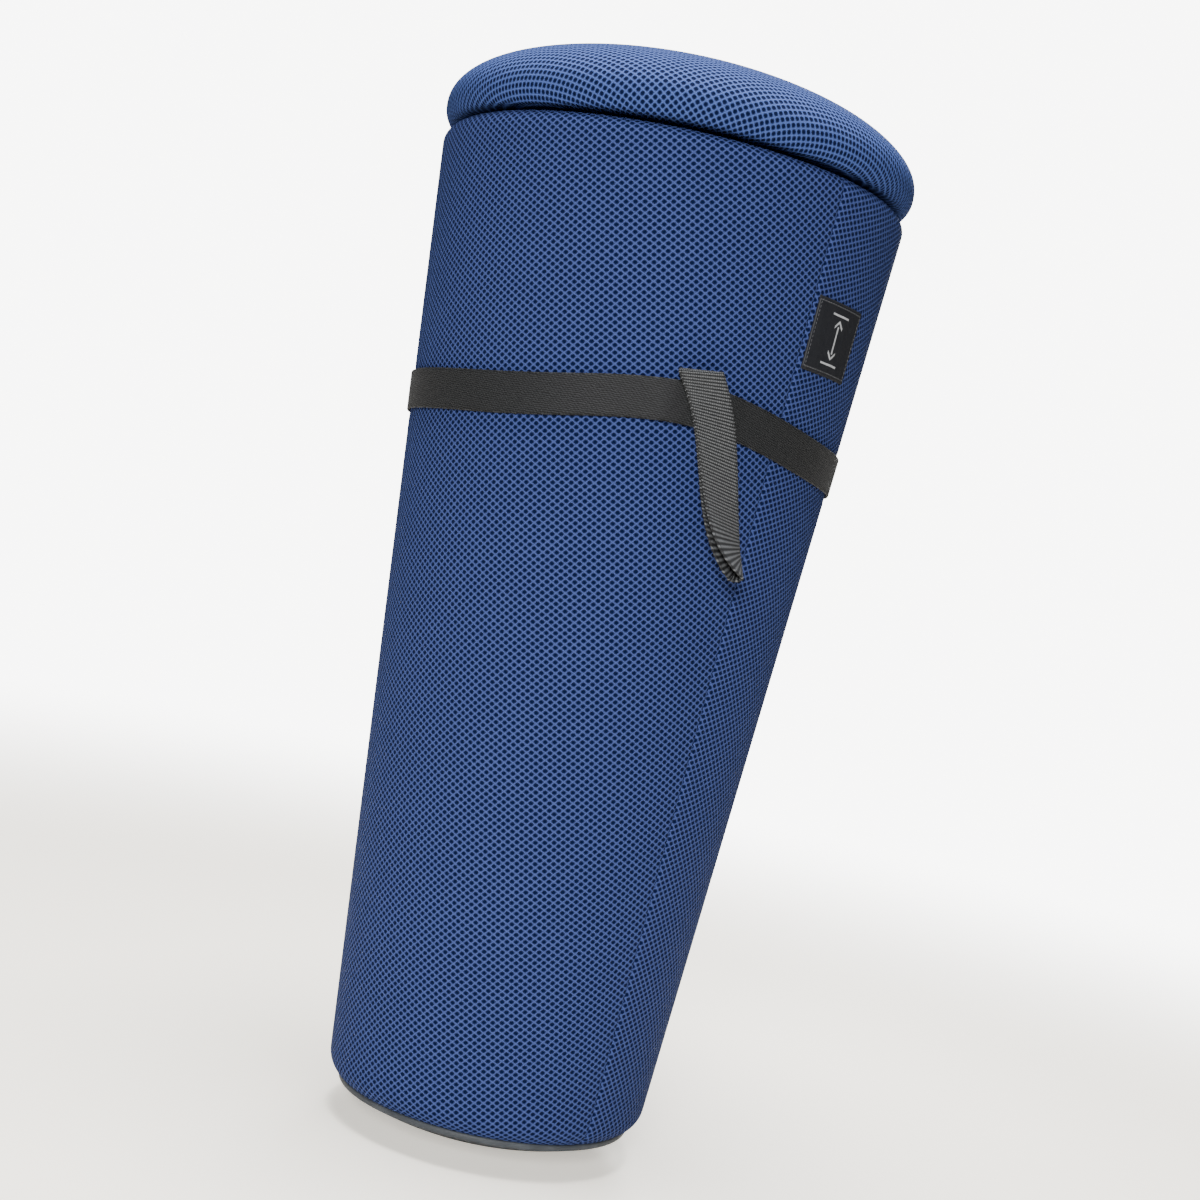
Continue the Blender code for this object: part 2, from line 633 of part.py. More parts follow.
def channel_cutters():
    """The channel that the lever runs in, and the wider notch round its paddle."""
    bracket_side = LEVER_HALF_WIDTH + EAR_GAP + EAR_THICKNESS
    half = max(bracket_side + CHANNEL_MARGIN, CYLINDER_RADIUS + CYLINDER_MARGIN)
    high = BOARD_BOTTOM + CHANNEL_DEPTH
    low = SEAT_BOTTOM - 0.01
    channel = box_cutter("lever_channel", (-half, -half, low), (half, PADDLE_START_Y, high))
    wide = PADDLE_HALF_WIDTH + NOTCH_MARGIN
    notch = box_cutter(
        "paddle_notch", (-wide, PADDLE_START_Y - 0.004, low), (wide, SEAT_RADIUS + 0.01, high)
    )
    return channel, notch


def make_board(channel, notch):
    """The plywood board under the foam."""
    profile = [(0.0, BOARD_TOP), (BOARD_RADIUS, BOARD_TOP), (BOARD_RADIUS, BOARD_BOTTOM),
               (0.0, BOARD_BOTTOM)]
    board = turned("seat_board", profile, PLYWOOD, closed=False)
    combine(board, channel)
    combine(board, notch)
    for name, x, y in seat_screw_places():
        low, high = BOARD_BOTTOM - 0.01, BOARD_BOTTOM + 0.010 + GAP
        combine(board, rod_mesh(name + "_board", SCREW_RADIUS + GAP, (x, y, low), (x, y, high)))


def bezier(first, handle, last, steps):
    """Points on a quadratic curve, without its first."""
    points = []
    for i in range(1, steps + 1):
        t = i / steps
        points.append(tuple(
            (1 - t) ** 2 * a + 2 * t * (1 - t) * b + t * t * c
            for a, b, c in zip(first, handle, last)
        ))
    return points


def seat_outline():
    """The cushion's outline from the middle of its top to the corner of its underside."""
    points = []
    for i in range(9):
        angle = math.pi / 2 * (1 - i / 9)
        points.append((SEAT_RADIUS * math.cos(angle), SEAT_WIDEST + SEAT_CROWN * math.sin(angle)))
    points[0] = (0.0, SEAT_WIDEST + SEAT_CROWN)
    corner = 0.004
    for i in range(4):
        fall = (SEAT_SIDE_DROP - corner) * i / 3
        radius = SEAT_RADIUS * (1 - (fall / SEAT_UNDERCUT) ** 3) ** (1 / 3)
        points.append((radius, SEAT_WIDEST - fall))
    last = points[-1]
    handle = (last[0] - corner * 0.5, SEAT_BOTTOM)
    return points + bezier(last, handle, (handle[0] - corner, SEAT_BOTTOM), 3)


def inset(points, depth):
    """The same outline at a depth under its surface."""
    moved = []
    for i, point in enumerate(points):
        if i == 0:
            moved.append((0.0, point[1] - depth))
            continue
        if i == len(points) - 1:
            moved.append((point[0], point[1] + depth))
            continue
        before, after = Vector(points[i - 1]), Vector(points[i + 1])
        along = (after - before).normalized()
        moved.append((point[0] + along.y * depth, point[1] - along.x * depth))
    return moved


def make_cushion(notch):
    """The foam over the board and the knitted cover drawn round it and under its edge."""
    outline = seat_outline()
    inner = inset(outline, COVER_THICKNESS)
    hem = [(SEAT_HEM_RADIUS, SEAT_BOTTOM), (SEAT_HEM_RADIUS, SEAT_BOTTOM + COVER_THICKNESS)]
    cover = turned("seat_cover", outline + hem + inner[::-1], BLUE_KNIT, closed=False)
    combine(cover, notch)
    side = BOARD_RADIUS + GAP
    profile = inset(outline, COVER_THICKNESS + GAP)
    profile += [(side, profile[-1][1]), (side, BOARD_TOP + GAP), (0.0, BOARD_TOP + GAP)]
    foam = turned("seat_foam", profile, FOAM, closed=False)
    combine(foam, notch)


def make_lever():
    """The release lever with its paddle, its bracket and its pivot pin."""
    side_on = Matrix(((0, 0, 1, 0), (1, 0, 0, 0), (0, 1, 0, 0), (0, 0, 0, 1)))
    low, high = LEVER_BOTTOM, LEVER_BOTTOM + LEVER_THICKNESS
    bend = PADDLE_START_Y - 0.012
    drop = PADDLE_DROP - (PADDLE_THICKNESS - LEVER_THICKNESS) / 2
    strip = [
        (-BUTTON_RADIUS * 2, low), (bend, low), (PADDLE_START_Y, low - drop),
        (PADDLE_START_Y + 0.010, low - drop), (PADDLE_START_Y + 0.010, high - drop),
        (PADDLE_START_Y, high - drop), (bend, high), (-BUTTON_RADIUS * 2, high),
    ]
    lever = from_curve("release_lever", strip, LEVER_HALF_WIDTH, side_on, BLACK_STEEL)
    tip = SEAT_RADIUS - 0.0006
    floor = low - PADDLE_DROP
    paddle = [
        (PADDLE_START_Y + 0.001, floor), (tip - 0.002, floor), (tip, floor + 0.002),
        (tip - 0.001, floor + PADDLE_THICKNESS), (PADDLE_START_Y + 0.001, floor + PADDLE_THICKNESS),
    ]
    pad = from_curve("paddle", paddle, PADDLE_HALF_WIDTH, side_on, collection=CUTTERS)
    combine(lever, pad, "UNION")
    centre = (LEVER_PIVOT_Y, PIVOT_Z)
    ends = [(side * (LEVER_HALF_WIDTH + EAR_GAP / 2), *centre) for side in (-1, 1)]
    combine(lever, rod_mesh("lever_hub", HUB_RADIUS, *ends), "UNION")
    reach = LEVER_HALF_WIDTH + EAR_GAP + EAR_THICKNESS + 0.0015
    ends = [(side * (reach + 0.01), *centre) for side in (-1, 1)]
    bore = rod_mesh("pivot_bore", PIVOT_PIN_RADIUS + GAP, *ends)
    combine(lever, bore)
    set_origin(lever, (0.0, *centre))
    make_bracket(bore, side_on)
    ends = [(side * reach, *centre) for side in (-1, 1)]
    rod_mesh("pivot_pin", PIVOT_PIN_RADIUS, *ends, BRIGHT_STEEL, STOOL)


def make_bracket(bore, side_on):
    """Two ears on a strap that stands on the mount plate and carries the pivot pin."""
    outer = LEVER_HALF_WIDTH + EAR_GAP + EAR_THICKNESS
    inner = LEVER_HALF_WIDTH + EAR_GAP
    base = PLATE_TOP + GAP
    half = 0.0055
    ear = [
        (LEVER_PIVOT_Y - half, base), (LEVER_PIVOT_Y + half, base),
        (LEVER_PIVOT_Y + half, PIVOT_Z + half - 0.002), (LEVER_PIVOT_Y + half - 0.002, PIVOT_Z + half),
        (LEVER_PIVOT_Y - half + 0.002, PIVOT_Z + half), (LEVER_PIVOT_Y - half, PIVOT_Z + half - 0.002),
    ]
    bracket = from_curve("lever_bracket", ear, outer, side_on, BLACK_STEEL)
    strap_top = PIVOT_Z - HUB_RADIUS - GAP
    low = (-inner, LEVER_PIVOT_Y - 0.02, strap_top)
    high = (inner, LEVER_PIVOT_Y + 0.02, PIVOT_Z + 0.02)
    combine(bracket, box_cutter("bracket_slot", low, high))
    combine(bracket, bore)


def on_cone(angle, height, out):
    """The point at an angle from the front and a height, this far out of the cover."""
    radius = cone_radius(height) + out
    return Vector((radius * math.sin(angle), -radius * math.cos(angle), height))


def webbing(name, rows, thickness, material, closed=False):
    """A flat strap through rows of points across its width."""
    mesh = bpy.data.meshes.new(name)
    cage = bmesh.new()
    grid = [[cage.verts.new(point) for point in row] for row in rows]
    for i in range(len(grid) if closed else len(grid) - 1):
        here, there = grid[i], grid[(i + 1) % len(grid)]
        for j in range(len(here) - 1):
            cage.faces.new((here[j], there[j], there[j + 1], here[j + 1]))
    cage.to_mesh(mesh)
    cage.free()
    obj = add_object(name, mesh, material)
    solid = obj.modifiers.new("Thickness", "SOLIDIFY")
    solid.thickness = thickness
    solid.offset = 0.0
    solid.use_even_offset = True
    obj.modifiers.new("Triangles", "TRIANGULATE")
    return obj


def smoothstep(value):
    """Eases from 0 to 1."""
    value = min(1.0, max(0.0, value))
    return value * value * (3 - 2 * value)


def belt_middle(angle):
    """The height of the belt's middle line at an angle: level, and lifted at the loop."""
    away = math.remainder(angle - BELT_LIFT_ANGLE, 2 * math.pi) / BELT_LIFT_SPREAD
    return BELT_HEIGHT + BELT_LIFT * math.exp(-away * away / 2)


def belt_stand_off(angle):
    """How far the belt's middle stands out of the cover: more where the loop's end lies behind it."""
    half = WEBBING_WIDTH / 2 / cone_radius(BELT_HEIGHT)
    away = abs(math.remainder(angle - LOOP_ANGLE, 2 * math.pi)) - half
    bulge = 1 - smoothstep((away - math.radians(1.5)) / math.radians(7.0))
    return BELT_GAP + WEBBING_THICKNESS / 2 + bulge * (ANCHOR_THICKNESS + GAP)


def make_belt():
    """The webbing belt, with its sides square to the cone's side."""
    rows = []
    for i in range(BELT_STEPS):
        angle = 2 * math.pi * i / BELT_STEPS
        out = belt_stand_off(angle)
        middle = belt_middle(angle)
        heights = (middle - WEBBING_WIDTH / 2, middle + WEBBING_WIDTH / 2)
        rows.append([on_cone(angle, height, out) for height in heights])
    webbing("webbing_belt", rows, WEBBING_THICKNESS, BLACK_WEBBING, closed=True)


def loop_slant(t):
    """The strap's slant at a share of its length, on a curve through its three given slants."""
    top, middle, end = LOOP_SLANTS
    bend = middle - (top + end) / 2
    return top + (end - top) * t + bend * 4 * t * (1 - t)


def loop_rows():
    """Rows across the front ply and the back ply, and the way down at their lower end.

    Both plies turn about their right edges, which lie along the cover. The front ply turns
    further, so the loop gapes at its left edge.
    """
    height = belt_middle(LOOP_ANGLE) + WEBBING_WIDTH / 2 + LOOP_RISE
    out = belt_stand_off(LOOP_ANGLE) + WEBBING_THICKNESS + LOOP_SLACK
    angle = LOOP_ANGLE
    step = LOOP_LENGTH / LOOP_STEPS
    front, back = [], []
    for i in range(LOOP_STEPS + 1):
        t = i / LOOP_STEPS
        slant = loop_slant(t)
        across = Vector((math.cos(angle), math.sin(angle), 0.0))
        outward = Vector((math.sin(angle), -math.cos(angle), -CONE_SLOPE)).normalized()
        down = across * math.sin(slant) + across.cross(outward) * math.cos(slant)
        side = outward.cross(down)
        right = on_cone(angle, height, 0.0) + side * WEBBING_WIDTH / 2 + outward * out
        lifted = right + outward * (WEBBING_THICKNESS + GAP)
        skew = LOOP_FOLD_SKEW * max(0.0, 1 - t / LOOP_SKEW_REACH)
        front_width = turn_inward(side, outward, LOOP_FRONT_TWIST * t ** LOOP_TWIST_RISE[0])
        back_width = turn_inward(side, outward, LOOP_BACK_TWIST * t ** LOOP_TWIST_RISE[1])
        front.append((lifted - front_width * WEBBING_WIDTH - down * skew, lifted))
        back.append((right - back_width * WEBBING_WIDTH - down * skew, right))
        angle += step * math.sin(slant) / cone_radius(height)
        height -= step * math.cos(slant)
    return front, back, down


def turn_inward(side, outward, twist):
    """The strap's width direction once it is turned about its length."""
    return side * math.cos(twist) - outward * math.sin(twist)


def make_loop_anchor():
    """The loop's sewn end, flat behind the belt and up to just under the loop's fold."""
    front, back, _ = loop_rows()
    fold_height = min(back[0][0].z, back[0][1].z)
    half = WEBBING_WIDTH / 2 / cone_radius(BELT_HEIGHT)
    rows = []
    for i in range(5):
        angle = LOOP_ANGLE + half * (i / 2 - 1)
        out = BELT_GAP + ANCHOR_THICKNESS / 2
        heights = (belt_middle(angle) - WEBBING_WIDTH / 2, fold_height - 0.002)
        rows.append([on_cone(angle, height, out) for height in heights])
    webbing("loop_anchor", rows, ANCHOR_THICKNESS, BLACK_WEBBING)


def make_carry_loop():
    """The carry loop: two plies of webbing down from the fold, joined by a turn at the end."""
    front, back, down = loop_rows()
    turn = []
    for i in range(1, 6):
        swing = math.pi * i / 6
        row = []
        for first, last in zip(front[-1], back[-1]):
            reach = (first - last) / 2
            middle = (first + last) / 2
            depth = reach.length * LOOP_TURN_DEPTH
            row.append(middle + reach * math.cos(swing) + down * depth * math.sin(swing))
        turn.append(tuple(row))
    loop = webbing("carry_loop", front + turn + back[::-1], WEBBING_THICKNESS, BLACK_WEBBING)
    fold = front[0] + back[0]
    set_origin(loop, sum(fold, Vector()) / len(fold))


def make_label():
    """The woven label on the body cover."""
    rows = []
    top = BODY_TOP - LABEL_DROP
    for i in range(7):
        angle = LABEL_ANGLES[0] + (LABEL_ANGLES[1] - LABEL_ANGLES[0]) * i / 6
        out = GAP + LABEL_THICKNESS / 2
        rows.append([on_cone(angle, height, out) for height in (top - LABEL_LENGTH, top)])
    webbing("side_label", rows, LABEL_THICKNESS, LABEL_WEAVE)


def main():
    make_sole()
    make_base_dish()
    make_base_screws()
    make_body()
    make_top_collar()
    make_column()
    make_guide_bush()
    make_bearing()
    make_rod()
    make_cylinder()
    make_seat_mount()
    channel, notch = channel_cutters()
    make_board(channel, notch)
    make_cushion(notch)
    make_lever()
    make_belt()
    make_loop_anchor()
    make_carry_loop()
    make_label()


if __name__ == "__main__":
    main()
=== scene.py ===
"""Sit-stand leaning stool: the visible pieces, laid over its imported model."""
import math

import bmesh
import bpy
import numpy as np
from bpy.props import BoolProperty, FloatProperty, FloatVectorProperty, IntProperty
from mathutils import Matrix, Vector


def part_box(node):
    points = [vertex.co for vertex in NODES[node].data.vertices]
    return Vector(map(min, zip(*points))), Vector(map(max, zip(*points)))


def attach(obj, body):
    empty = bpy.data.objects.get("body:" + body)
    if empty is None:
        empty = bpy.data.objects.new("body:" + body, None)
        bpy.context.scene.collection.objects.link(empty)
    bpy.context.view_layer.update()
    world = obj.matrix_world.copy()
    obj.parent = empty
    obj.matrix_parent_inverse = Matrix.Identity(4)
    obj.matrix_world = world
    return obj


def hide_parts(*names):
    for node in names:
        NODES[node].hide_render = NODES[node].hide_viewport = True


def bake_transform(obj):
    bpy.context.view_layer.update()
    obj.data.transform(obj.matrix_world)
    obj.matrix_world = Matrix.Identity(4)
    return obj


bl_info = {
    "name": "Leaning stool",
    "version": (1, 0, 0),
    "blender": (4, 5, 0),
    "location": "View3D > Sidebar > Stool",
    "description": "Makes the knit covers, webbing, label and metalwork of a sit-stand stool",
    "category": "Object",
}

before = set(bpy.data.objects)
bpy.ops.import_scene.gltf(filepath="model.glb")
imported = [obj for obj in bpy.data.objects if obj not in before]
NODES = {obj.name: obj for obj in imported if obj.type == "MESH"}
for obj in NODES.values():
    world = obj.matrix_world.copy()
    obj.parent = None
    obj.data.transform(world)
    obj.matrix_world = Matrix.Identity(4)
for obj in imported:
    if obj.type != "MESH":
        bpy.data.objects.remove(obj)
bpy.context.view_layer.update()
UP = Vector((0.0, 0.0, 1.0))

# The cone, the sole and the seat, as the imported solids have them
SOLE_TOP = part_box("sole")[1].z + 0.0003
SOLE_RADIUS = 0.0965
DOME_RADIUS = 0.2356
FLAT_RADIUS = 0.030
BODY_TOP = SOLE_TOP + 0.6104
BOTTOM_RADIUS = 0.1036
TOP_RADIUS = 0.153
SLOPE = (TOP_RADIUS - BOTTOM_RADIUS) / (BODY_TOP - SOLE_TOP)
CONE_ANGLE = math.atan(SLOPE)
SEAT_RADIUS = 0.155
SEAT_BOTTOM = BODY_TOP + 0.003
SEAT_WIDEST = SEAT_BOTTOM + 0.0142
SEAT_CROWN = 0.0504
SEAM_ANGLE = math.radians(41.0)
LOOP_ANGLE = math.radians(15.9)
BELT_HEIGHT = 0.4627
GAP = 0.0003

# The covers
COVER_THICKNESS = 0.0032
TOP_CORNER = 0.009
LOW_CORNER = 0.016
HEM_TURN = math.radians(59.0)
TOP_HEM = 0.013
SEAM_WIDTH = 0.0011
SEAM_DEPTH = 0.0009
BELT_DENT = 0.0005
PROFILE_STEP = 0.006

# The webbing
HALF_WEBBING = 0.0125
WEBBING_THICKNESS = 0.0016
TAB_THICKNESS = 0.0014
BELT_LIFT = 0.016
BELT_LIFT_ANGLE = math.radians(15.0)
BELT_LIFT_SPREAD = math.radians(24.0)
LOOP_LENGTH = 0.1127
LOOP_FOLD_SKEW = 0.012
LOOP_TURN_DEPTH = 0.35
LOOP_SLANTS = (math.radians(32.0), math.radians(17.0), math.radians(25.0))
LOOP_TWISTS = (math.radians(57.0), math.radians(40.0))
PLY_GAP = 0.0019

# The label's two corners, each an angle and a height
LABEL_LOW = (math.radians(42.2), 0.5167)
LABEL_HIGH = (math.radians(61.5), 0.5617)


# ---------------------------------------------------------------- shader maths

class Value:
    """A socket of a material's nodes that takes Python's operators."""

    def __init__(self, finish, socket):
        self.finish = finish
        self.socket = socket

    def math(self, operation, *values):
        return self.finish.node("ShaderNodeMath", {"operation": operation},
                                dict(enumerate(values)))

    def __add__(self, other):
        return self.math("ADD", self, other)

    __radd__ = __add__

    def __sub__(self, other):
        return self.math("SUBTRACT", self, other)

    def __rsub__(self, other):
        return self.math("SUBTRACT", other, self)

    def __mul__(self, other):
        return self.math("MULTIPLY", self, other)

    __rmul__ = __mul__

    def __truediv__(self, other):
        return self.math("DIVIDE", self, other)

    def __pow__(self, other):
        return self.math("POWER", self, other)

    def least(self, other):
        return self.math("MINIMUM", self, other)

    def most(self, other):
        return self.math("MAXIMUM", self, other)

    def floor(self):
        return self.math("FLOOR", self)

    def size(self):
        return self.math("ABSOLUTE", self)

    def offset_in_cell(self):
        """How far the value is from the nearest whole number, from -0.5 to 0.5."""
        return self.math("FRACT", self + 0.5) - 0.5

    def wave(self, per_turn=1.0):
        """A wave from 0 to 1 with this many turns in each whole number."""
        return self.math("SINE", self * (2 * math.pi * per_turn)) * 0.5 + 0.5

    def ease(self, low, high):
        """0 at low and 1 at high, smooth between them."""
        return self.finish.node(
            "ShaderNodeMapRange", {"interpolation_type": "SMOOTHSTEP"},
            {"Value": self, "From Min": low, "From Max": high})


class Finish:
    """A Principled material, and the nodes that vary it over the surface."""

    def __init__(self, name, roughness=0.5, metallic=0.0, **constants):
        self.material = bpy.data.materials.new(name)
        self.material.use_nodes = True
        self.tree = self.material.node_tree
        self.shader = self.tree.nodes["Principled BSDF"]
        self.set(Roughness=roughness, Metallic=metallic)
        for socket, value in constants.items():
            self.shader.inputs[socket.replace("_", " ")].default_value = value

    def node(self, kind, settings=None, sockets=None, output=0):
        """Adds a node: its settings first, then the values or links of its sockets."""
        made = self.tree.nodes.new(kind)
        for key, value in (settings or {}).items():
            if key == "stops":
                ramp = made.color_ramp.elements
                while len(ramp) < len(value):
                    ramp.new(0.5)
                for stop, (place, colour) in zip(ramp, value):
                    stop.position = place
                    stop.color = (*colour, 1.0)
            else:
                setattr(made, key, value)
        for key, value in (sockets or {}).items():
            if isinstance(value, Value):
                self.tree.links.new(value.socket, made.inputs[key])
            else:
                made.inputs[key].default_value = value
        return Value(self, made.outputs[output])

    def set(self, **sockets):
        """Gives the shader's sockets a value or a link."""
        for name, value in sockets.items():
            socket = self.shader.inputs[name.replace("_", " ")]
            if isinstance(value, Value):
                self.tree.links.new(value.socket, socket)
            else:
                socket.default_value = value

    def colour(self, factor, first, second):
        """A mix of two colours; each is a link or three numbers."""
        ends = [c if isinstance(c, Value) else (*c, 1.0) for c in (first, second)]
        return self.node("ShaderNodeMix", {"data_type": "RGBA"},
                         {0: factor, 6: ends[0], 7: ends[1]}, output=2)

    def axes(self, vector):
        """The three parts of a vector."""
        made = self.node("ShaderNodeSeparateXYZ", None, {0: vector}).socket.node
        return [Value(self, out) for out in made.outputs]

    def place(self):
        """The point on the piece, in metres."""
        return self.node("ShaderNodeTexCoord", output=3)

    def flat_place(self):
        """The point on the flat cloth or strap that the piece was made from, in metres."""
        return self.node("ShaderNodeUVMap", {"uv_map": "flat"})

    def noise(self, scale, detail=2.0, where=None, stretch=None):
        """Noise from 0 to 1, at this many features in a metre."""
        where = where or self.place()
        if stretch:
            where = self.node("ShaderNodeVectorMath", {"operation": "MULTIPLY"},
                              {0: where, 1: stretch})
        return self.node("ShaderNodeTexNoise", None,
                         {"Vector": where, "Scale": scale, "Detail": detail})

    def relief(self, height, distance, strength=1.0):
        """Puts a height from 0 to 1 into the surface as bump, this many metres deep."""
        self.set(Normal=self.node("ShaderNodeBump", None, {
            "Strength": strength, "Distance": distance, "Height": height}))


# ---------------------------------------------------------------- mesh helpers

def on_cone(angle, height, out=0.0):
    """The point at an angle from the front towards +X, at a height, this far off the cover."""
    radius = cone_radius(height) + out
    return Vector((radius * math.sin(angle), -radius * math.cos(angle), height))


def cone_radius(height):
    """The cover's radius at a height."""
    return BOTTOM_RADIUS + SLOPE * (height - SOLE_TOP)


def outward_at(angle):
    """Straight out of the cover at an angle."""
    return Vector((math.sin(angle), -math.cos(angle), -SLOPE)).normalized()


def smoothstep(value):
    """Eases from 0 to 1."""
    value = np.clip(value, 0.0, 1.0)
    return value * value * (3 - 2 * value)


def arc(centre, radius, start, end, steps):
    """Points on an arc in the (radius, height) plane."""
    angles = [start + (end - start) * i / steps for i in range(steps + 1)]
    return [(centre[0] + radius * math.cos(a), centre[1] + radius * math.sin(a)) for a in angles]


def evenly(points, spacing):
    """The same line with a point about every spacing, and its corners kept."""
    line = [points[0]]
    for a, b in zip(points, points[1:]):
        count = max(1, math.ceil(math.dist(a, b) / spacing))
        line += [tuple(p + (q - p) * i / count for p, q in zip(a, b)) for i in range(1, count + 1)]
    return line


def woven_grid(name, points, flat=None, around=(True, True), finish=None):
    """A smooth closed skin through a grid of points, with its flat place as a UV map.

    around says whether the rows and the columns close on themselves. flat has one more row
    or column than points where they do, because the map ends there and starts again.
    """
    points = np.asarray(points, float)
    rows, columns = points.shape[:2]
    r, c = np.meshgrid(np.arange(rows if around[0] else rows - 1),
                       np.arange(columns if around[1] else columns - 1), indexing="ij")
    r, c = r.ravel(), c.ravel()
    steps = ((0, 0), (0, 1), (1, 1), (1, 0))
    faces = np.stack([(r + i) % rows * columns + (c + j) % columns for i, j in steps], 1)
    mesh = bpy.data.meshes.new(name)
    mesh.from_pydata(points.reshape(-1, 3), [], faces.tolist())
    if flat is not None:
        spots = np.stack([np.asarray(flat)[r + i, c + j] for i, j in steps], 1)
        layer = mesh.uv_layers.new(name="flat")
        layer.uv.foreach_set("vector", spots.astype(np.float32).ravel())
    return finished(name, mesh, finish)


def finished(name, mesh, finish=None, merge=1e-6):
    """Merges a mesh's doubles, turns its faces outwards and puts it in the scene."""
    cage = bmesh.new()
    cage.from_mesh(mesh)
    bmesh.ops.remove_doubles(cage, verts=cage.verts, dist=merge)
    bmesh.ops.dissolve_degenerate(cage, edges=cage.edges, dist=1e-7)
    bmesh.ops.recalc_face_normals(cage, faces=cage.faces)
    cage.to_mesh(mesh)
    cage.free()
    mesh.shade_smooth()
    if finish:
        mesh.materials.clear()
        mesh.materials.append(finish)
    piece = bpy.data.objects.new(name, mesh)
    bpy.context.scene.collection.objects.link(piece)
    return piece


def turned(name, profile, steps=128, finish=None, closed=True, sharp=None):
    """Turns a profile of (radius, height) points about +Z."""
    angles = np.arange(steps) * 2 * math.pi / steps
    profile = np.asarray(profile, float)
    points = np.stack([
        profile[:, None, 0] * np.sin(angles), -profile[:, None, 0] * np.cos(angles),
        np.repeat(profile[:, None, 1], steps, 1)], -1)
    piece = woven_grid(name, points, None, (closed, True), finish)
    if sharp:
        piece.data.set_sharp_from_angle(angle=math.radians(sharp))
    return piece


def applied(piece):
    """Puts a piece's modifiers into its mesh."""
    depsgraph = bpy.context.evaluated_depsgraph_get()
    mesh = bpy.data.meshes.new_from_object(piece.evaluated_get(depsgraph))
    piece.modifiers.clear()
    piece.data = mesh
    return piece


def settings():
    """The sizes and colours that a user may change."""
    return bpy.context.scene.leaning_stool


# ---------------------------------------------------------------- finishes

def knit_finish(name, row, column, thread, hollow_shade, shine):
    """Open spacer knit: staggered holes between crossing threads; the holes are painted dark as
    shade, the threads painted lighter at their crossings as highlight.
    """
    finish = Finish(name, roughness=0.85, Sheen_Weight=0.015, Sheen_Roughness=0.5,
                    Sheen_Tint=(0.3, 0.5, 1.0, 1.0), Specular_IOR_Level=shine)
    flat = finish.flat_place()
    ripple = finish.noise(90.0, 2.0, flat)
    x, y, _ = finish.axes(flat)
    x = x + (ripple - 0.5) * 0.0007
    u, v = x / row, y / column

    def from_hole(shift):
        across = (u + shift).offset_in_cell() * row
        along = (v + shift).offset_in_cell() * (column * 1.12)
        return (across * across + along * along) ** 0.5

    near = from_hole(0.0).least(from_hole(0.5))
    open_by = settings().hole_width / 2
    solid = near.ease(open_by * 0.62, open_by * 1.5)
    first, second = (u + v).offset_in_cell(), (u - v).offset_in_cell()
    crossing = (first * first).most(second * second) * 4
    yarn = ((u + v) * 0.5 + 0.0).wave(9.0) * 0.5 + ((u - v) * 0.5).wave(9.0) * 0.5
    cloud = finish.noise(26.0, 3.0)
    lint = finish.noise(900.0, 2.0)
    # Lit and shaded copies of the thread: bright is painted highlight at the crossings, dark is
    # painted shade between them; the cloud and lint mixes below also use them for random tone.
    bright = [c * 1.42 for c in thread]
    dark = [c * 0.72 for c in thread]
    strand = finish.colour(crossing.ease(0.25, 1.0), dark, bright)
    strand = finish.colour(cloud.ease(0.35, 0.7) * 0.16, strand, bright)
    strand = finish.colour((lint * yarn).ease(0.25, 0.75) * 0.22, strand, dark)
    # The holes take the hollow colour: painted shade inside the knit's holes.
    finish.set(Base_Color=finish.colour(solid, hollow_shade, strand),
               Roughness=0.95 - solid * 0.18)
    finish.relief(solid * 0.8 + crossing * 0.14 + lint * 0.06, 0.0011)
    return finish.material


def webbing_finish(name, thread, hollow_shade, ribs, pitch=0.002):
    """Woven webbing: weft ribs across the strap, or a fine flat twill where ribs is off; the
    weave's hollows are painted dark as shade.
    """
    finish = Finish(name, roughness=0.75, Sheen_Weight=0.03, Sheen_Roughness=0.4,
                    Specular_IOR_Level=0.15)
    flat = finish.flat_place()
    wander = finish.noise(260.0, 2.0, flat)
    x, y, _ = finish.axes(flat)
    if ribs:
        rib = (x / pitch).wave()
        row_shift = (x / pitch).floor() * 0.5
        warp = (y / 0.0013 + row_shift).wave()
        weave = rib * (warp * 0.6 + 0.4)
    else:
        twill = (y / 0.0013 + (wander - 0.5) * 1.6 + x / 0.011).wave()
        warp = (x / 0.0022 + y / 0.0026).wave()
        weave = twill * 0.7 + warp * 0.3
    fluff = finish.noise(1500.0, 2.0)
    edge = y.size().ease(0.0109, 0.0122)
    # Darker in the weave's hollows and lighter on its raised threads: painted shade, with random
    # tone from fluff and wander and a darker band along each edge.
    tone = (weave * 0.8 + fluff * 0.3 - edge * 0.12 + (wander - 0.5) * 0.15).ease(0.15, 0.95)
    finish.set(Base_Color=finish.colour(tone, hollow_shade, thread), Roughness=0.72 - weave * 0.18)
    finish.relief(weave * 0.85 + fluff * 0.15, 0.00035 if ribs else 0.00026)
    return finish.material


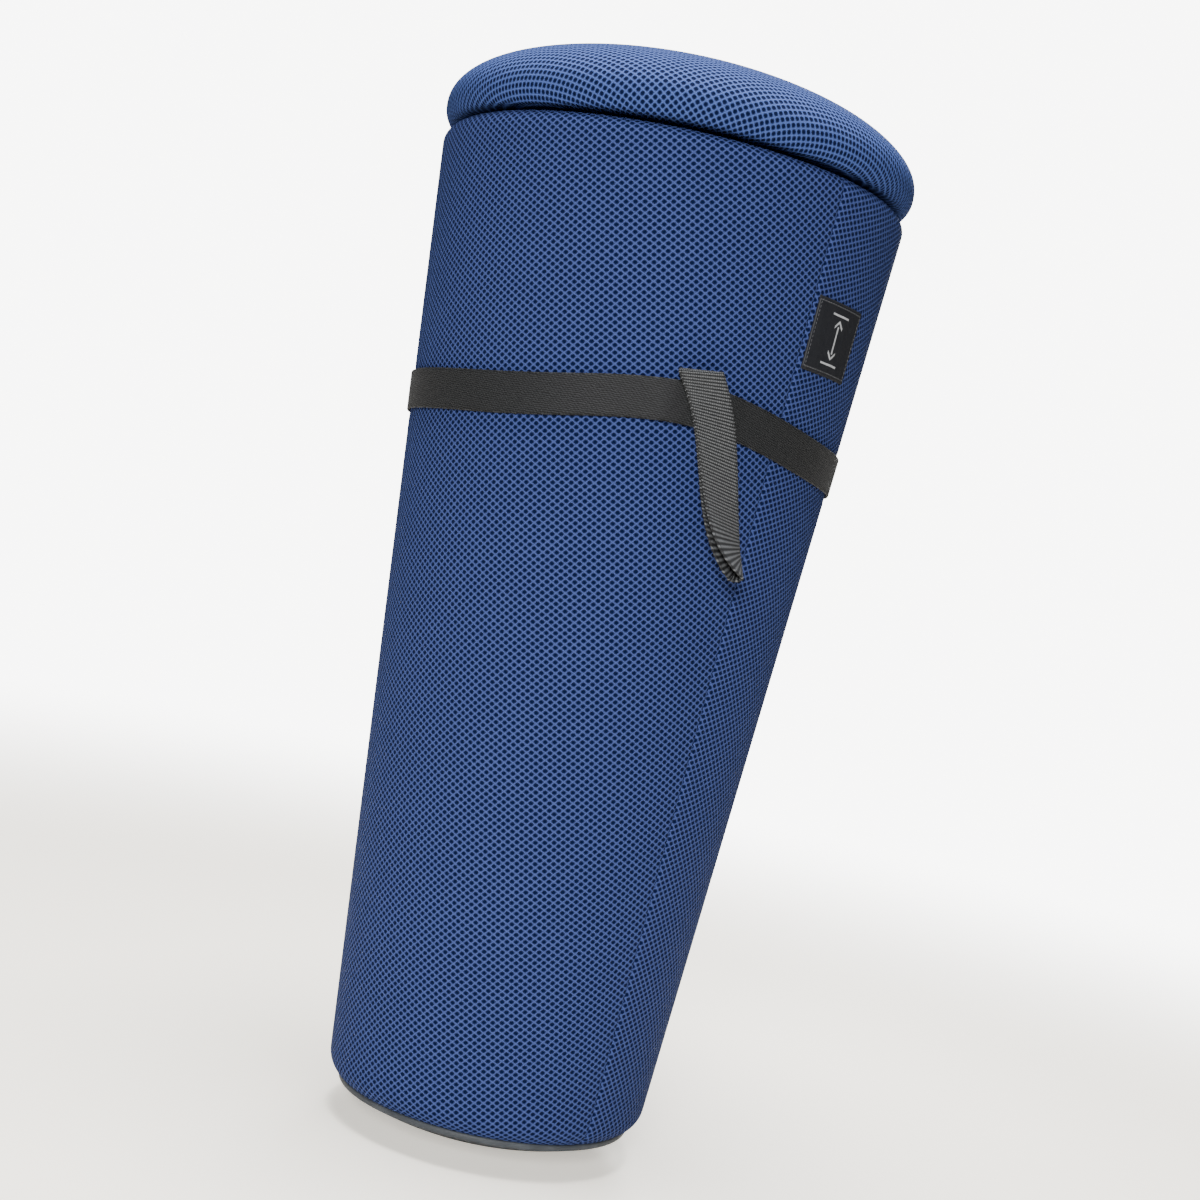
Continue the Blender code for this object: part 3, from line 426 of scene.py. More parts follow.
def label_finish():
    """A woven label: dark ground with a border and a plain up-and-down arrow sign."""
    finish = Finish("woven_label", roughness=0.7, Specular_IOR_Level=0.15)
    x, y, _ = finish.axes(finish.flat_place())
    across = (x / 0.00055).wave()
    along = (y / 0.0004).wave()
    grain = across * 0.5 + along * 0.5

    def band(value, centre, half):
        return 1.0 - (value - centre).size().ease(half - 0.00012, half + 0.00012)

    half_width, half_height = 0.0225, 0.0205
    edge = band(x, 0.0, half_width).least(band(y, 0.0, half_height))
    inner = band(x, 0.0, half_width - 0.0007).least(band(y, 0.0, half_height - 0.0007))
    frame_line = edge - inner
    shaft = band(x, 0.0, 0.0007).least(band(y, 0.0, 0.0085))
    side, rise = x.size(), y.size()
    slant = band(rise + side, 0.0115, 0.0009)
    head = slant.least(band(rise, 0.0095, 0.0026)).least(band(x, 0.0, 0.0040))
    seat_bar = band(rise, 0.0150, 0.0006).least(band(x, 0.0, 0.0085))
    mark = (frame_line * 0.1).most(shaft).most(head).most(seat_bar)
    ground = finish.colour(grain, (0.004, 0.0045, 0.006), (0.011, 0.012, 0.016))
    finish.set(Base_Color=finish.colour(mark * 0.8, ground, (0.36, 0.37, 0.39)))
    finish.relief(grain * 0.5 + mark * 0.5, 0.00015)
    return finish.material


def rubber_finish():
    """Moulded rubber with a fine spark-eroded texture and scuffs."""
    finish = Finish("moulded_rubber", roughness=0.6, Specular_IOR_Level=0.4)
    grain = finish.noise(1400.0, 3.0)
    scuff = finish.noise(60.0, 4.0)
    finish.set(Base_Color=finish.colour(scuff.ease(0.45, 0.75), (0.020, 0.024, 0.030),
                                        (0.036, 0.041, 0.049)),
               Roughness=0.5 + scuff * 0.25)
    finish.relief(grain, 0.00012)
    return finish.material


def plastic_finish(name, colour, roughness):
    """Moulded plastic with a fine grain."""
    finish = Finish(name, roughness=roughness, Specular_IOR_Level=0.45)
    grain = finish.noise(1800.0, 2.0)
    flow = finish.noise(35.0, 3.0)
    finish.set(Base_Color=finish.colour(flow, [c * 0.85 for c in colour],
                                        [c * 1.15 for c in colour]),
               Roughness=roughness - 0.06 + flow * 0.12)
    finish.relief(grain, 0.00008)
    return finish.material


def painted_finish():
    """Satin black paint on steel, with a slight orange peel."""
    finish = Finish("satin_paint", roughness=0.38, Coat_Weight=0.15, Coat_Roughness=0.3)
    peel = finish.noise(420.0, 2.0)
    wear = finish.noise(50.0, 4.0)
    finish.set(Base_Color=finish.colour(wear.ease(0.5, 0.8), (0.016, 0.016, 0.018),
                                        (0.028, 0.028, 0.030)),
               Roughness=0.32 + wear * 0.18)
    finish.relief(peel, 0.00006)
    return finish.material


def steel_finish():
    """Bright zinc-plated steel with fine turning marks."""
    finish = Finish("bright_zinc", roughness=0.3, metallic=1.0)
    marks = finish.noise(300.0, 3.0, stretch=(1.0, 1.0, 18.0))
    stain = finish.noise(40.0, 3.0)
    finish.set(Base_Color=finish.colour(stain, (0.50, 0.51, 0.53), (0.66, 0.66, 0.65)),
               Roughness=0.2 + marks * 0.25)
    finish.relief(marks, 0.00003)
    return finish.material


def casting_finish():
    """Raw cast iron with a sandy skin."""
    finish = Finish("cast_iron_skin", roughness=0.7, metallic=0.6)
    sand = finish.noise(700.0, 4.0)
    patch = finish.noise(45.0, 3.0)
    finish.set(Base_Color=finish.colour(patch.ease(0.4, 0.7), (0.050, 0.050, 0.053),
                                        (0.090, 0.080, 0.072)),
               Roughness=0.55 + sand * 0.3)
    finish.relief(sand, 0.0004)
    return finish.material


def plywood_finish():
    """Birch plywood: grain along X on its faces and plies round its edge."""
    finish = Finish("birch_plywood", roughness=0.6)
    grain = finish.noise(60.0, 4.0, stretch=(1.0, 14.0, 1.0))
    _, _, z = finish.axes(finish.place())
    ply = (z / 0.0028).wave().ease(0.35, 0.65)
    colour = finish.colour(grain.ease(0.3, 0.7), (0.52, 0.37, 0.21), (0.64, 0.49, 0.31))
    finish.set(Base_Color=finish.colour(ply * 0.3, colour, (0.40, 0.27, 0.14)),
               Roughness=0.55 + grain * 0.15)
    finish.relief(grain, 0.0001)
    return finish.material


def foam_finish():
    """Open-cell foam."""
    finish = Finish("open_foam", roughness=0.95)
    cells = finish.noise(1100.0, 3.0)
    finish.set(Base_Color=finish.colour(cells.ease(0.35, 0.65), (0.50, 0.48, 0.40),
                                        (0.70, 0.68, 0.60)))
    finish.relief(cells, 0.0005)
    return finish.material


def floor_finish():
    """A plain pale floor with faint mottling."""
    tone = settings().floor_colour
    finish = Finish("pale_floor", roughness=0.55, Specular_IOR_Level=0.3,
                    Emission_Strength=settings().floor_glow)
    seen = finish.node("ShaderNodeLightPath", None, None, "Is Camera Ray")
    finish.set(Emission_Color=finish.colour(seen, (0.0, 0.0, 0.0), tone))
    mottle = finish.noise(3.0, 4.0)
    finish.set(Base_Color=finish.colour(mottle, tone, [c * 0.97 for c in tone]),
               Roughness=0.5 + mottle * 0.1)
    x, y, _ = finish.axes(finish.place())
    away = ((x * x + y * y) ** 0.5).ease(0.7, 2.2)
    clear = finish.node("ShaderNodeBsdfTransparent")
    near = Value(finish, finish.shader.outputs["BSDF"])
    both = finish.node("ShaderNodeMixShader", None, {0: away, 1: near, 2: clear})
    finish.tree.links.new(both.socket, finish.tree.nodes["Material Output"].inputs["Surface"])
    return finish.material


FINISHES = {}


def finish_of(name):
    """A finish, made when it is first asked for."""
    makers = {
        # Both knits take the hollow colour as painted shade in their holes.
        "body_knit": lambda: knit_finish(
            "body_knit", settings().knit_row, settings().knit_column,
            settings().thread_colour, settings().hole_shade_colour, 0.05),
        # The seat's knit thread is a lighter copy of the sleeve's: painted light for the top light
        # on the cushion.
        "seat_knit": lambda: knit_finish(
            "seat_knit", settings().knit_row, settings().knit_column,
            settings().lit_seat_thread_colour, settings().hole_shade_colour, 0.065),
        # Each webbing's second colour is painted shade in the weave's hollows.
        "belt_webbing": lambda: webbing_finish(
            "belt_webbing", (0.0148, 0.0156, 0.0172), (0.0030, 0.0032, 0.0036), False),
        "loop_webbing": lambda: webbing_finish(
            "loop_webbing", (0.099, 0.103, 0.109), (0.007, 0.0073, 0.008), True,
            settings().rib_pitch),
        "label": label_finish,
        "rubber": rubber_finish,
        "black_plastic": lambda: plastic_finish("black_moulding", (0.022, 0.022, 0.024), 0.45),
        "grey_plastic": lambda: plastic_finish("grey_moulding", (0.12, 0.12, 0.125), 0.5),
        "paint": painted_finish,
        "steel": steel_finish,
        "casting": casting_finish,
        "plywood": plywood_finish,
        "foam": foam_finish,
        "floor": floor_finish,
        "stitch_thread": lambda: plastic_finish("stitch_thread", (0.05, 0.052, 0.058), 0.7),
    }
    if name not in FINISHES:
        FINISHES[name] = makers[name]()
    return FINISHES[name]


# ---------------------------------------------------------------- knit covers

def flat_cone(angle, height):
    """Where a point of the cone lies on its flat cut, whose sides meet at the seam."""
    turn = (angle - SEAM_ANGLE) % (2 * math.pi) - math.pi
    spread = turn * math.sin(CONE_ANGLE)
    reach = cone_radius(height) / math.sin(CONE_ANGLE)
    return np.array((0.5 + reach * math.sin(spread), reach * math.cos(spread) - 1.2))


def cover_profile():
    """The cover's outer line down from the top hem, with its height on the cone for the knit."""
    top_z, low_z = BODY_TOP - TOP_CORNER, SOLE_TOP + LOW_CORNER * math.sin(HEM_TURN)
    top = (cone_radius(top_z) - TOP_CORNER / math.cos(CONE_ANGLE), top_z)
    low = (cone_radius(low_z) - LOW_CORNER / math.cos(CONE_ANGLE), low_z)
    line = [(top[0] - TOP_HEM, BODY_TOP)]
    line += arc(top, TOP_CORNER, math.pi / 2, -CONE_ANGLE, 10)
    line += arc(low, LOW_CORNER, -CONE_ANGLE, -HEM_TURN, 10)
    return evenly(line, PROFILE_STEP)


def belt_middle(angle):
    """The height of the belt's middle line: level, and lifted where the loop pulls it up."""
    away = math.remainder(angle - BELT_LIFT_ANGLE, 2 * math.pi) / BELT_LIFT_SPREAD
    return BELT_HEIGHT + BELT_LIFT * math.exp(-away * away / 2)


def belt_stand_off(angle):
    """How far the belt's middle stands off the cover: more over the loop's sewn end."""
    half = HALF_WEBBING / cone_radius(BELT_HEIGHT)
    away = abs(math.remainder(angle - LOOP_ANGLE, 2 * math.pi)) - half
    bulge = 1 - smoothstep((away - math.radians(1.5)) / math.radians(7.0))
    return 0.0012 + bulge * 0.0017


def make_body_cover():
    """The knitted sleeve with its seam, drawn in a little at the seam and under the belt."""
    outer = cover_profile()
    steps = settings().round_steps
    angles = [SEAM_ANGLE + 2 * math.pi * i / steps for i in range(steps)]
    for degrees in (0.35, 0.8, 1.4):
        near = math.radians(degrees)
        angles += [SEAM_ANGLE + near, SEAM_ANGLE + 2 * math.pi - near]
    angles = sorted(set(angles))
    # the knit's height on the cone: the line's length, matched to the height where the side starts
    lengths = [BODY_TOP]
    for a, b in zip(outer, outer[1:]):
        lengths.append(lengths[-1] - math.dist(a, b))
    start = next(i for i, p in enumerate(outer) if p[1] < BODY_TOP - TOP_CORNER - 0.0005)
    shift = outer[start][1] - lengths[start]
    rows, flats = [], []
    for (radius, height), length in zip(outer, lengths):
        on_side = length + shift
        row, flat = [], []
        for angle in angles:
            off_seam = math.remainder(angle - SEAM_ANGLE, 2 * math.pi) * radius
            pinch = SEAM_DEPTH * math.exp(-(off_seam / SEAM_WIDTH) ** 2)
            away = abs(height - belt_middle(angle))
            pinch += BELT_DENT * float(1 - smoothstep((away - 0.0105) / 0.006))
            row.append(on_ring(radius - pinch, angle, height))
            flat.append(flat_cone(angle, on_side))
        flat.append(flat_cone(SEAM_ANGLE - 1e-9, on_side))
        flat[0] = flat_cone(SEAM_ANGLE + 1e-9, on_side)
        rows.append(row)
        flats.append(flat)
    for (radius, height), flat in reversed(list(zip(outer, flats))):
        inset, level = radius - COVER_THICKNESS, height
        if height > BODY_TOP - TOP_CORNER:
            level = min(height, BODY_TOP - COVER_THICKNESS)
            inset = min(radius, cone_radius(level) - COVER_THICKNESS)
        rows.append([on_ring(inset, angle, level) for angle in angles])
        flats.append(flat)
    flats.append(flats[0])
    cover = woven_grid("knit_sleeve", rows, flats, (True, True), finish_of("body_knit"))
    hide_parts("body_cover")
    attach(cover, "base")


def on_ring(radius, angle, height):
    """The point at a radius, an angle from the front towards +X, and a height."""
    return (radius * math.sin(angle), -radius * math.cos(angle), height)


def seat_line():
    """The cushion's outline from the middle of its top to the corner of its underside."""
    points = []
    for i in range(27):
        angle = math.pi / 2 * (1 - i / 27)
        points.append((SEAT_RADIUS * math.cos(angle), SEAT_WIDEST + SEAT_CROWN * math.sin(angle)))
    points[0] = (0.0, SEAT_WIDEST + SEAT_CROWN)
    corner = 0.004
    for i in range(7):
        fall = (0.0142 - corner) * i / 6
        points.append((SEAT_RADIUS * (1 - (fall / 0.027) ** 3) ** (1 / 3), SEAT_WIDEST - fall))
    first = points[-1]
    handle = (first[0] - corner * 0.5, SEAT_BOTTOM)
    last = (handle[0] - corner, SEAT_BOTTOM)
    for i in range(1, 6):
        t = i / 5
        points.append(tuple((1 - t) ** 2 * a + 2 * t * (1 - t) * b + t * t * c
                            for a, b, c in zip(first, handle, last)))
    return points


def knit_reach(line):
    """How far each point of a profile lies from the middle of the flat knit drawn over it."""
    area, reach = 0.0, [0.0]
    for a, b in zip(line, line[1:]):
        area += (a[0] + b[0]) * math.dist(a, b)
        reach.append(0.55 * math.sqrt(area) + 0.45 * (reach[-1] + math.dist(a, b)))
    return reach


def make_seat_cushion():
    """The crowned cushion: knit drawn over foam, swelled as cloth, with a notch for the paddle."""
    line = seat_line()
    reach = knit_reach(line)
    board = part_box("seat_board")
    board_radius = board[1].x + GAP
    hem_radius = 0.118
    under = evenly([line[-1], (hem_radius, SEAT_BOTTOM)], PROFILE_STEP)[1:]
    hem_top = SEAT_BOTTOM + COVER_THICKNESS
    inside = [(hem_radius, hem_top), (board_radius, hem_top),
              (board_radius, board[1].z + GAP), (0.0, board[1].z + GAP)]
    for point in under:
        reach.append(reach[-1] + math.dist(point, line[-1]) * 0.3)
    full = line + under + inside
    reach += [reach[-1]] * len(inside)
    steps = settings().round_steps // 2
    angles = [2 * math.pi * i / steps for i in range(steps + 1)]
    rows = [[on_ring(r, a, z) for a in angles[:-1]] for r, z in full]
    flats = [[(0.5 + d * math.sin(a), 0.5 - d * math.cos(a)) for a in angles] for d in reach]
    cushion = woven_grid("seat_cushion", rows, flats, (False, True), finish_of("seat_knit"))
    swell(cushion, held_below=SEAT_BOTTOM + 0.007, most=settings().swell)
    smooth = cushion.modifiers.new("Smooth", "SUBSURF")
    smooth.levels = smooth.render_levels = 1
    applied(cushion)
    add_slack_waves(cushion)
    notch = rounded_box("paddle_notch", (-0.020, 0.108, SEAT_BOTTOM - 0.01),
                        (0.020, SEAT_RADIUS + 0.01, board[0].z + 0.012), 0.003)
    cut = cushion.modifiers.new("Notch", "BOOLEAN")
    cut.operation = "DIFFERENCE"
    cut.solver = "EXACT"
    cut.object = notch
    applied(cushion)
    bpy.data.objects.remove(notch, do_unlink=True)
    cushion.data.materials.clear()
    cushion.data.materials.append(finish_of("seat_knit"))
    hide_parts("seat_cover", "seat_foam")
    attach(cushion, "seat")


def swell(cushion, held_below, most):
    """Swells the cushion's knit with Blender's cloth, and holds what lies low or inside."""
    mesh = cushion.data
    start = np.zeros(len(mesh.vertices) * 3, np.float32)
    mesh.vertices.foreach_get("co", start)
    start = start.reshape(-1, 3)
    radius = np.hypot(start[:, 0], start[:, 1])
    crown = SEAT_WIDEST + SEAT_CROWN * np.sqrt(np.clip(1 - (radius / SEAT_RADIUS) ** 2, 0, 1))
    held = (start[:, 2] < held_below) | (start[:, 2] < crown - 0.004) & (start[:, 2] > SEAT_WIDEST)
    held |= (radius < SEAT_RADIUS - 0.012) & (start[:, 2] < SEAT_WIDEST + 0.004)
    group = cushion.vertex_groups.new(name="held")
    group.add(np.flatnonzero(held).tolist(), 1.0, "REPLACE")
    cloth = cushion.modifiers.new("Swell", "CLOTH")
    cloth.settings.use_pressure = True
    cloth.settings.uniform_pressure_force = 4.0
    cloth.settings.quality = 6
    cloth.settings.mass = 0.3
    cloth.settings.tension_stiffness = 25
    cloth.settings.compression_stiffness = 25
    cloth.settings.shear_stiffness = 15
    cloth.settings.bending_stiffness = 2.0
    cloth.settings.effector_weights.gravity = 0.0
    cloth.settings.vertex_group_mass = "held"
    scene = bpy.context.scene
    for step in range(1, 21):
        scene.frame_set(step)
    evaluated = cushion.evaluated_get(bpy.context.evaluated_depsgraph_get()).to_mesh()
    end = np.zeros(len(start) * 3, np.float32)
    evaluated.vertices.foreach_get("co", end)
    cushion.modifiers.clear()
    cushion.vertex_groups.clear()
    moved = end.reshape(-1, 3) - start
    far = np.linalg.norm(moved, axis=1, keepdims=True)
    moved *= np.minimum(1.0, most / np.maximum(far, 1e-9))
    mesh.vertices.foreach_set("co", (start + moved).ravel())
    mesh.update()
    scene.frame_set(1)


def add_slack_waves(cushion):
    """Faint slack in the knit: long shallow waves round the side, none on the top's middle."""
    mesh = cushion.data
    spots = np.zeros(len(mesh.vertices) * 3, np.float32)
    mesh.vertices.foreach_get("co", spots)
    spots = spots.reshape(-1, 3)
    angle = np.arctan2(spots[:, 0], -spots[:, 1])
    radius = np.hypot(spots[:, 0], spots[:, 1])
    wave = 0.5 * np.sin(angle * 3 + 0.7) + 0.3 * np.sin(angle * 7 + 2.1) + 0.2 * np.sin(angle * 11)
    share = smoothstep((radius - 0.09) / 0.06) * (spots[:, 2] > SEAT_BOTTOM + 0.001)
    spots[:, :2] *= (1 + 0.0022 * wave * share)[:, None]
    mesh.vertices.foreach_set("co", spots.ravel())
    mesh.update()


def rounded_box(name, low, high, radius):
    """A box with rounded edges, used as a cutter."""
    mesh = bpy.data.meshes.new(name)
    cage = bmesh.new()
    bmesh.ops.create_cube(cage, size=1.0)
    bmesh.ops.scale(cage, vec=[b - a for a, b in zip(low, high)], verts=cage.verts)
    bmesh.ops.translate(cage, vec=[(a + b) / 2 for a, b in zip(low, high)], verts=cage.verts)
    bmesh.ops.bevel(cage, geom=cage.edges, offset=radius, segments=4, profile=0.5,
                    affect="EDGES")
    cage.to_mesh(mesh)
    cage.free()
    piece = bpy.data.objects.new(name, mesh)
    bpy.context.scene.collection.objects.link(piece)
    return piece


# ---------------------------------------------------------------- webbing

def strap(name, lefts, rights, outs, along, thickness, finish, ribs=0.0, closed=False):
    """A flat strap with round edges, through left and right edges and outward directions."""
    lefts, rights, outs = (np.asarray(v, float) for v in (lefts, rights, outs))
    half = thickness / 2
    across = [-1 + 2 * i / 14 for i in range(15)]
    turn = [math.pi / 2 - math.pi * i / 4 for i in range(1, 4)]
    ring = [(s, 1.0, 0.0) for s in across]
    ring += [(1.0, math.sin(a), math.cos(a)) for a in turn]
    ring += [(s, -1.0, 0.0) for s in reversed(across)]
    ring += [(-1.0, -math.sin(a), -math.cos(a)) for a in turn]
    width = np.linalg.norm(rights - lefts, axis=1)[:, None]
    side = (rights - lefts) / width
    middle = (rights + lefts) / 2
    rib = 1 + (ribs / half) * np.cos(2 * math.pi * np.asarray(along) / settings().rib_pitch)
    reach = width / 2 - half
    points, flat = [], []
    for s, up, out in ring:
        points.append(middle + side * (s * reach + out * half) + outs * (half * up * rib)[:, None])
        flat.append([(0.5 + a, s * HALF_WEBBING) for a in along])
    points = np.stack(points, 1)
    flat = np.stack([np.asarray(f, float) for f in flat + [flat[0]]], 1)
    flat[:, -1, 1] = -HALF_WEBBING
    if closed:
        turn_row = flat[:1].copy()
        turn_row[:, :, 0] = 0.5 + along[-1] + (along[-1] - along[-2])
        flat = np.concatenate([flat, turn_row])
    piece = woven_grid(name, points, flat, (closed, True), finish)
    if not closed:
        close_rims(piece)
    return piece


def close_rims(piece):
    """Closes the open ends or sides of a strap or a two-layer sheet."""
    cage = bmesh.new()
    cage.from_mesh(piece.data)
    rim = [edge for edge in cage.edges if edge.is_boundary]
    bmesh.ops.holes_fill(cage, edges=rim)
    bmesh.ops.recalc_face_normals(cage, faces=cage.faces)
    cage.to_mesh(piece.data)
    cage.free()
    piece.data.shade_smooth()


def make_belt():
    """The belt that goes round the sleeve."""
    steps = 360
    lefts, rights, outs, along = [], [], [], []
    for i in range(steps):
        angle = 2 * math.pi * i / steps
        middle = belt_middle(angle)
        out = belt_stand_off(angle)
        lefts.append(on_cone(angle, middle - HALF_WEBBING, out))
        rights.append(on_cone(angle, middle + HALF_WEBBING, out))
        outs.append(outward_at(angle))
        along.append(angle * cone_radius(BELT_HEIGHT))
    belt = strap("webbing_band", lefts, rights, outs, along, WEBBING_THICKNESS,
                 finish_of("belt_webbing"), closed=True)
    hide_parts("webbing_belt")
    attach(belt, "base")


def loop_plies(steps):
    """Left and right edges and outward directions of the loop's two plies, from the fold down."""
    top, middle, end = LOOP_SLANTS
    bend = middle - (top + end) / 2
    height = belt_middle(LOOP_ANGLE) + HALF_WEBBING + 0.0023
    out = belt_stand_off(LOOP_ANGLE) + WEBBING_THICKNESS + 0.0014
    angle, step = LOOP_ANGLE, LOOP_LENGTH / steps
    plies = ([], [], []), ([], [], [])
    for i in range(steps + 1):
        t = i / steps
        slant = top + (end - top) * t + bend * 4 * t * (1 - t)
        across = Vector((math.cos(angle), math.sin(angle), 0.0))
        outward = outward_at(angle)
        down = across * math.sin(slant) + across.cross(outward) * math.cos(slant)
        side = outward.cross(down)
        right = on_cone(angle, height) + side * HALF_WEBBING + outward * out
        lifted = right + outward * PLY_GAP
        twists = (LOOP_TWISTS[0] * t**3.5, LOOP_TWISTS[1] * t**3.9)
        for (lefts, rights, outs), edge, twist in zip(plies, (lifted, right), twists):
            width = side * math.cos(twist) - outward * math.sin(twist)
            lefts.append(edge - width * 2 * HALF_WEBBING)
            rights.append(edge)
            outs.append((outward * math.cos(twist) + side * math.sin(twist)).normalized())
        angle += step * math.sin(slant) / cone_radius(height)
        height -= step * math.cos(slant)
    for lefts, rights, outs in plies:
        lefts[:] = slid_up(lefts, LOOP_FOLD_SKEW / LOOP_LENGTH)
    return plies, down


def slid_up(edge, share):
    """An edge whose points lie this share of its length further up, and end where it ends."""
    count = len(edge) - 1
    first = edge[0] - edge[1]
    moved = []
    for i in range(count + 1):
        t = i / count
        at = (t - share * float(1 - smoothstep((t - 0.80) / 0.20))) * count
        if at < 0:
            moved.append(edge[0] - first * at)
            continue
        low = min(int(at), count - 1)
        moved.append(edge[low].lerp(edge[low + 1], at - low))
    return moved


def make_carry_loop():
    """The carry loop: two plies of ribbed webbing joined by a turn at the lower end."""
    steps = 240
    (front, back), down = loop_plies(steps)
    lefts, rights, outs = ([Vector(p) for p in part] for part in front)
    along = [LOOP_LENGTH * i / steps for i in range(steps + 1)]
    ends = (front[0][-1], back[0][-1]), (front[1][-1], back[1][-1])
    count = 14
    for i in range(1, count):
        swing = math.pi * i / count
        for edge, (first, last) in zip((lefts, rights), ends):
            half = (first - last) / 2
            edge.append((first + last) / 2 + half * math.cos(swing)
                        + down * half.length * LOOP_TURN_DEPTH * math.sin(swing))
        outs.append((front[2][-1] * math.cos(swing) + down * math.sin(swing)).normalized())
        along.append(along[-1] + 0.0006)
    base = along[-1]
    for i in range(steps + 1):
        j = steps - i
        lefts.append(back[0][j])
        rights.append(back[1][j])
        outs.append(-back[2][j])
        along.append(base + 0.0006 + LOOP_LENGTH * i / steps)
    loop = strap("carry_strap", lefts, rights, outs, along, WEBBING_THICKNESS,
                 finish_of("loop_webbing"), ribs=0.00016)
    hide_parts("carry_loop")
    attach(loop, "loop")
    return front, back


def make_loop_tab(front, back):
    """The loop's sewn end: up behind the belt and over into the fold."""
    half = HALF_WEBBING / cone_radius(BELT_HEIGHT)
    lefts, rights, outs = [], [], []
    for i in range(14):
        t = i / 13
        pair = []
        for side in (-1, 1):
            angle = LOOP_ANGLE + half * side
            low = belt_middle(angle) - 0.0115
            high = belt_middle(angle) + HALF_WEBBING
            pair.append(on_cone(angle, low + (high - low) * t, 0.0011))
        lefts.append(pair[0])
        rights.append(pair[1])
        outs.append(outward_at(LOOP_ANGLE))
    starts = (lefts[-1], rights[-1])
    ends = ((front[0][0] + back[0][0]) / 2, (front[1][0] + back[1][0]) / 2)
    lift = Vector((0.0, 0.0, 0.010))
    outward = outward_at(LOOP_ANGLE)
    for i in range(1, 13):
        t = i / 12
        for edge, first, last in zip((lefts, rights), starts, ends):
            edge.append((1 - t) ** 3 * first + 3 * (1 - t) ** 2 * t * (first + lift * 0.6)
                        + 3 * (1 - t) * t * t * (last + lift * 0.35) + t**3 * last)
        outs.append((outward * (1 - t) + UP * 2 * t * (1 - t) + outward * t * 0.6).normalized())
    along = [0.0015 * i for i in range(len(lefts))]
    tab = strap("strap_end", lefts, rights, outs, along, TAB_THICKNESS,
                finish_of("loop_webbing"))
    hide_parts("loop_anchor")
    on_cone(LOOP_ANGLE, 0.4975, 0.0012)
    on_cone(LOOP_ANGLE, 0.4975, 0.0062)
    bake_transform(tab)


def make_label():
    """The woven label, slightly domed, with its edges turned under."""
    low, high = LABEL_LOW, LABEL_HIGH
    across, up = 36, 30
    rows, flats = [], []
    for layer in (1.0, -1.0):
        order = range(up + 1) if layer > 0 else range(up, -1, -1)
        for j in order:
            height = low[1] + (high[1] - low[1]) * j / up
            row, flat = [], []
            for i in range(across + 1):
                angle = low[0] + (high[0] - low[0]) * i / across
                edge = min(i, across - i, j * 1.2, (up - j) * 1.2)
                puff = 0.0004 * float(smoothstep(edge / 3.0))
                ripple = 0.00012 * math.sin(i * 0.7 + j * 0.23)
                lift = puff + 0.0001 + ripple * puff / 0.0004 if layer > 0 else -0.0003
                out = 0.0006 + lift
                row.append(on_cone(angle, height, out))
                flat.append(((i / across - 0.5) * 0.0462, (j / up - 0.5) * 0.045))
            rows.append(row)
            flats.append(flat)
    flats.append(flats[0])
    label = woven_grid("woven_label", rows, flats, (True, False), finish_of("label"))
    close_rims(label)
    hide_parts("side_label")
    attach(label, "base")


# ---------------------------------------------------------------- repeated pieces

def stitch_tree():
    """A node tree that lays stitches along a line."""
    tree = bpy.data.node_groups.new("stitches", "GeometryNodeTree")
    face = tree.interface
    face.new_socket("Line", in_out="INPUT", socket_type="NodeSocketGeometry")
    for name, value in (("Spacing", 0.003), ("Stitch length", 0.0022), ("Thickness", 0.0005)):
        face.new_socket(name, in_out="INPUT", socket_type="NodeSocketFloat").default_value = value
    face.new_socket("Thread", in_out="INPUT", socket_type="NodeSocketMaterial")
    face.new_socket("Stitches", in_out="OUTPUT", socket_type="NodeSocketGeometry")
    nodes, link = tree.nodes, tree.links.new
    given = nodes.new("NodeGroupInput")
    curve = nodes.new("GeometryNodeMeshToCurve")
    link(given.outputs["Line"], curve.inputs["Mesh"])
    spots = nodes.new("GeometryNodeCurveToPoints")
    spots.mode = "LENGTH"
    link(curve.outputs["Curve"], spots.inputs["Curve"])
    link(given.outputs["Spacing"], spots.inputs["Length"])
    bead = nodes.new("GeometryNodeMeshUVSphere")
    bead.inputs["Segments"].default_value = 6
    bead.inputs["Rings"].default_value = 5
    bead.inputs["Radius"].default_value = 0.5
    size = nodes.new("ShaderNodeCombineXYZ")
    link(given.outputs["Thickness"], size.inputs["X"])
    link(given.outputs["Thickness"], size.inputs["Y"])
    link(given.outputs["Stitch length"], size.inputs["Z"])
    shape = nodes.new("GeometryNodeTransform")
    link(bead.outputs["Mesh"], shape.inputs["Geometry"])
    link(size.outputs["Vector"], shape.inputs["Scale"])
    place = nodes.new("GeometryNodeInstanceOnPoints")
    link(spots.outputs["Points"], place.inputs["Points"])
    link(spots.outputs["Rotation"], place.inputs["Rotation"])
    link(shape.outputs["Geometry"], place.inputs["Instance"])
    return ended(tree, place.outputs["Instances"], given.outputs["Thread"])


def ended(tree, instances, material):
    """Ends a tree in Realize Instances and Set Material."""
    real = tree.nodes.new("GeometryNodeRealizeInstances")
    tree.links.new(instances, real.inputs["Geometry"])
    paint = tree.nodes.new("GeometryNodeSetMaterial")
    tree.links.new(real.outputs["Geometry"], paint.inputs["Geometry"])
    tree.links.new(material, paint.inputs["Material"])
    out = tree.nodes.new("NodeGroupOutput")
    tree.links.new(paint.outputs["Geometry"], out.inputs[0])
    return tree


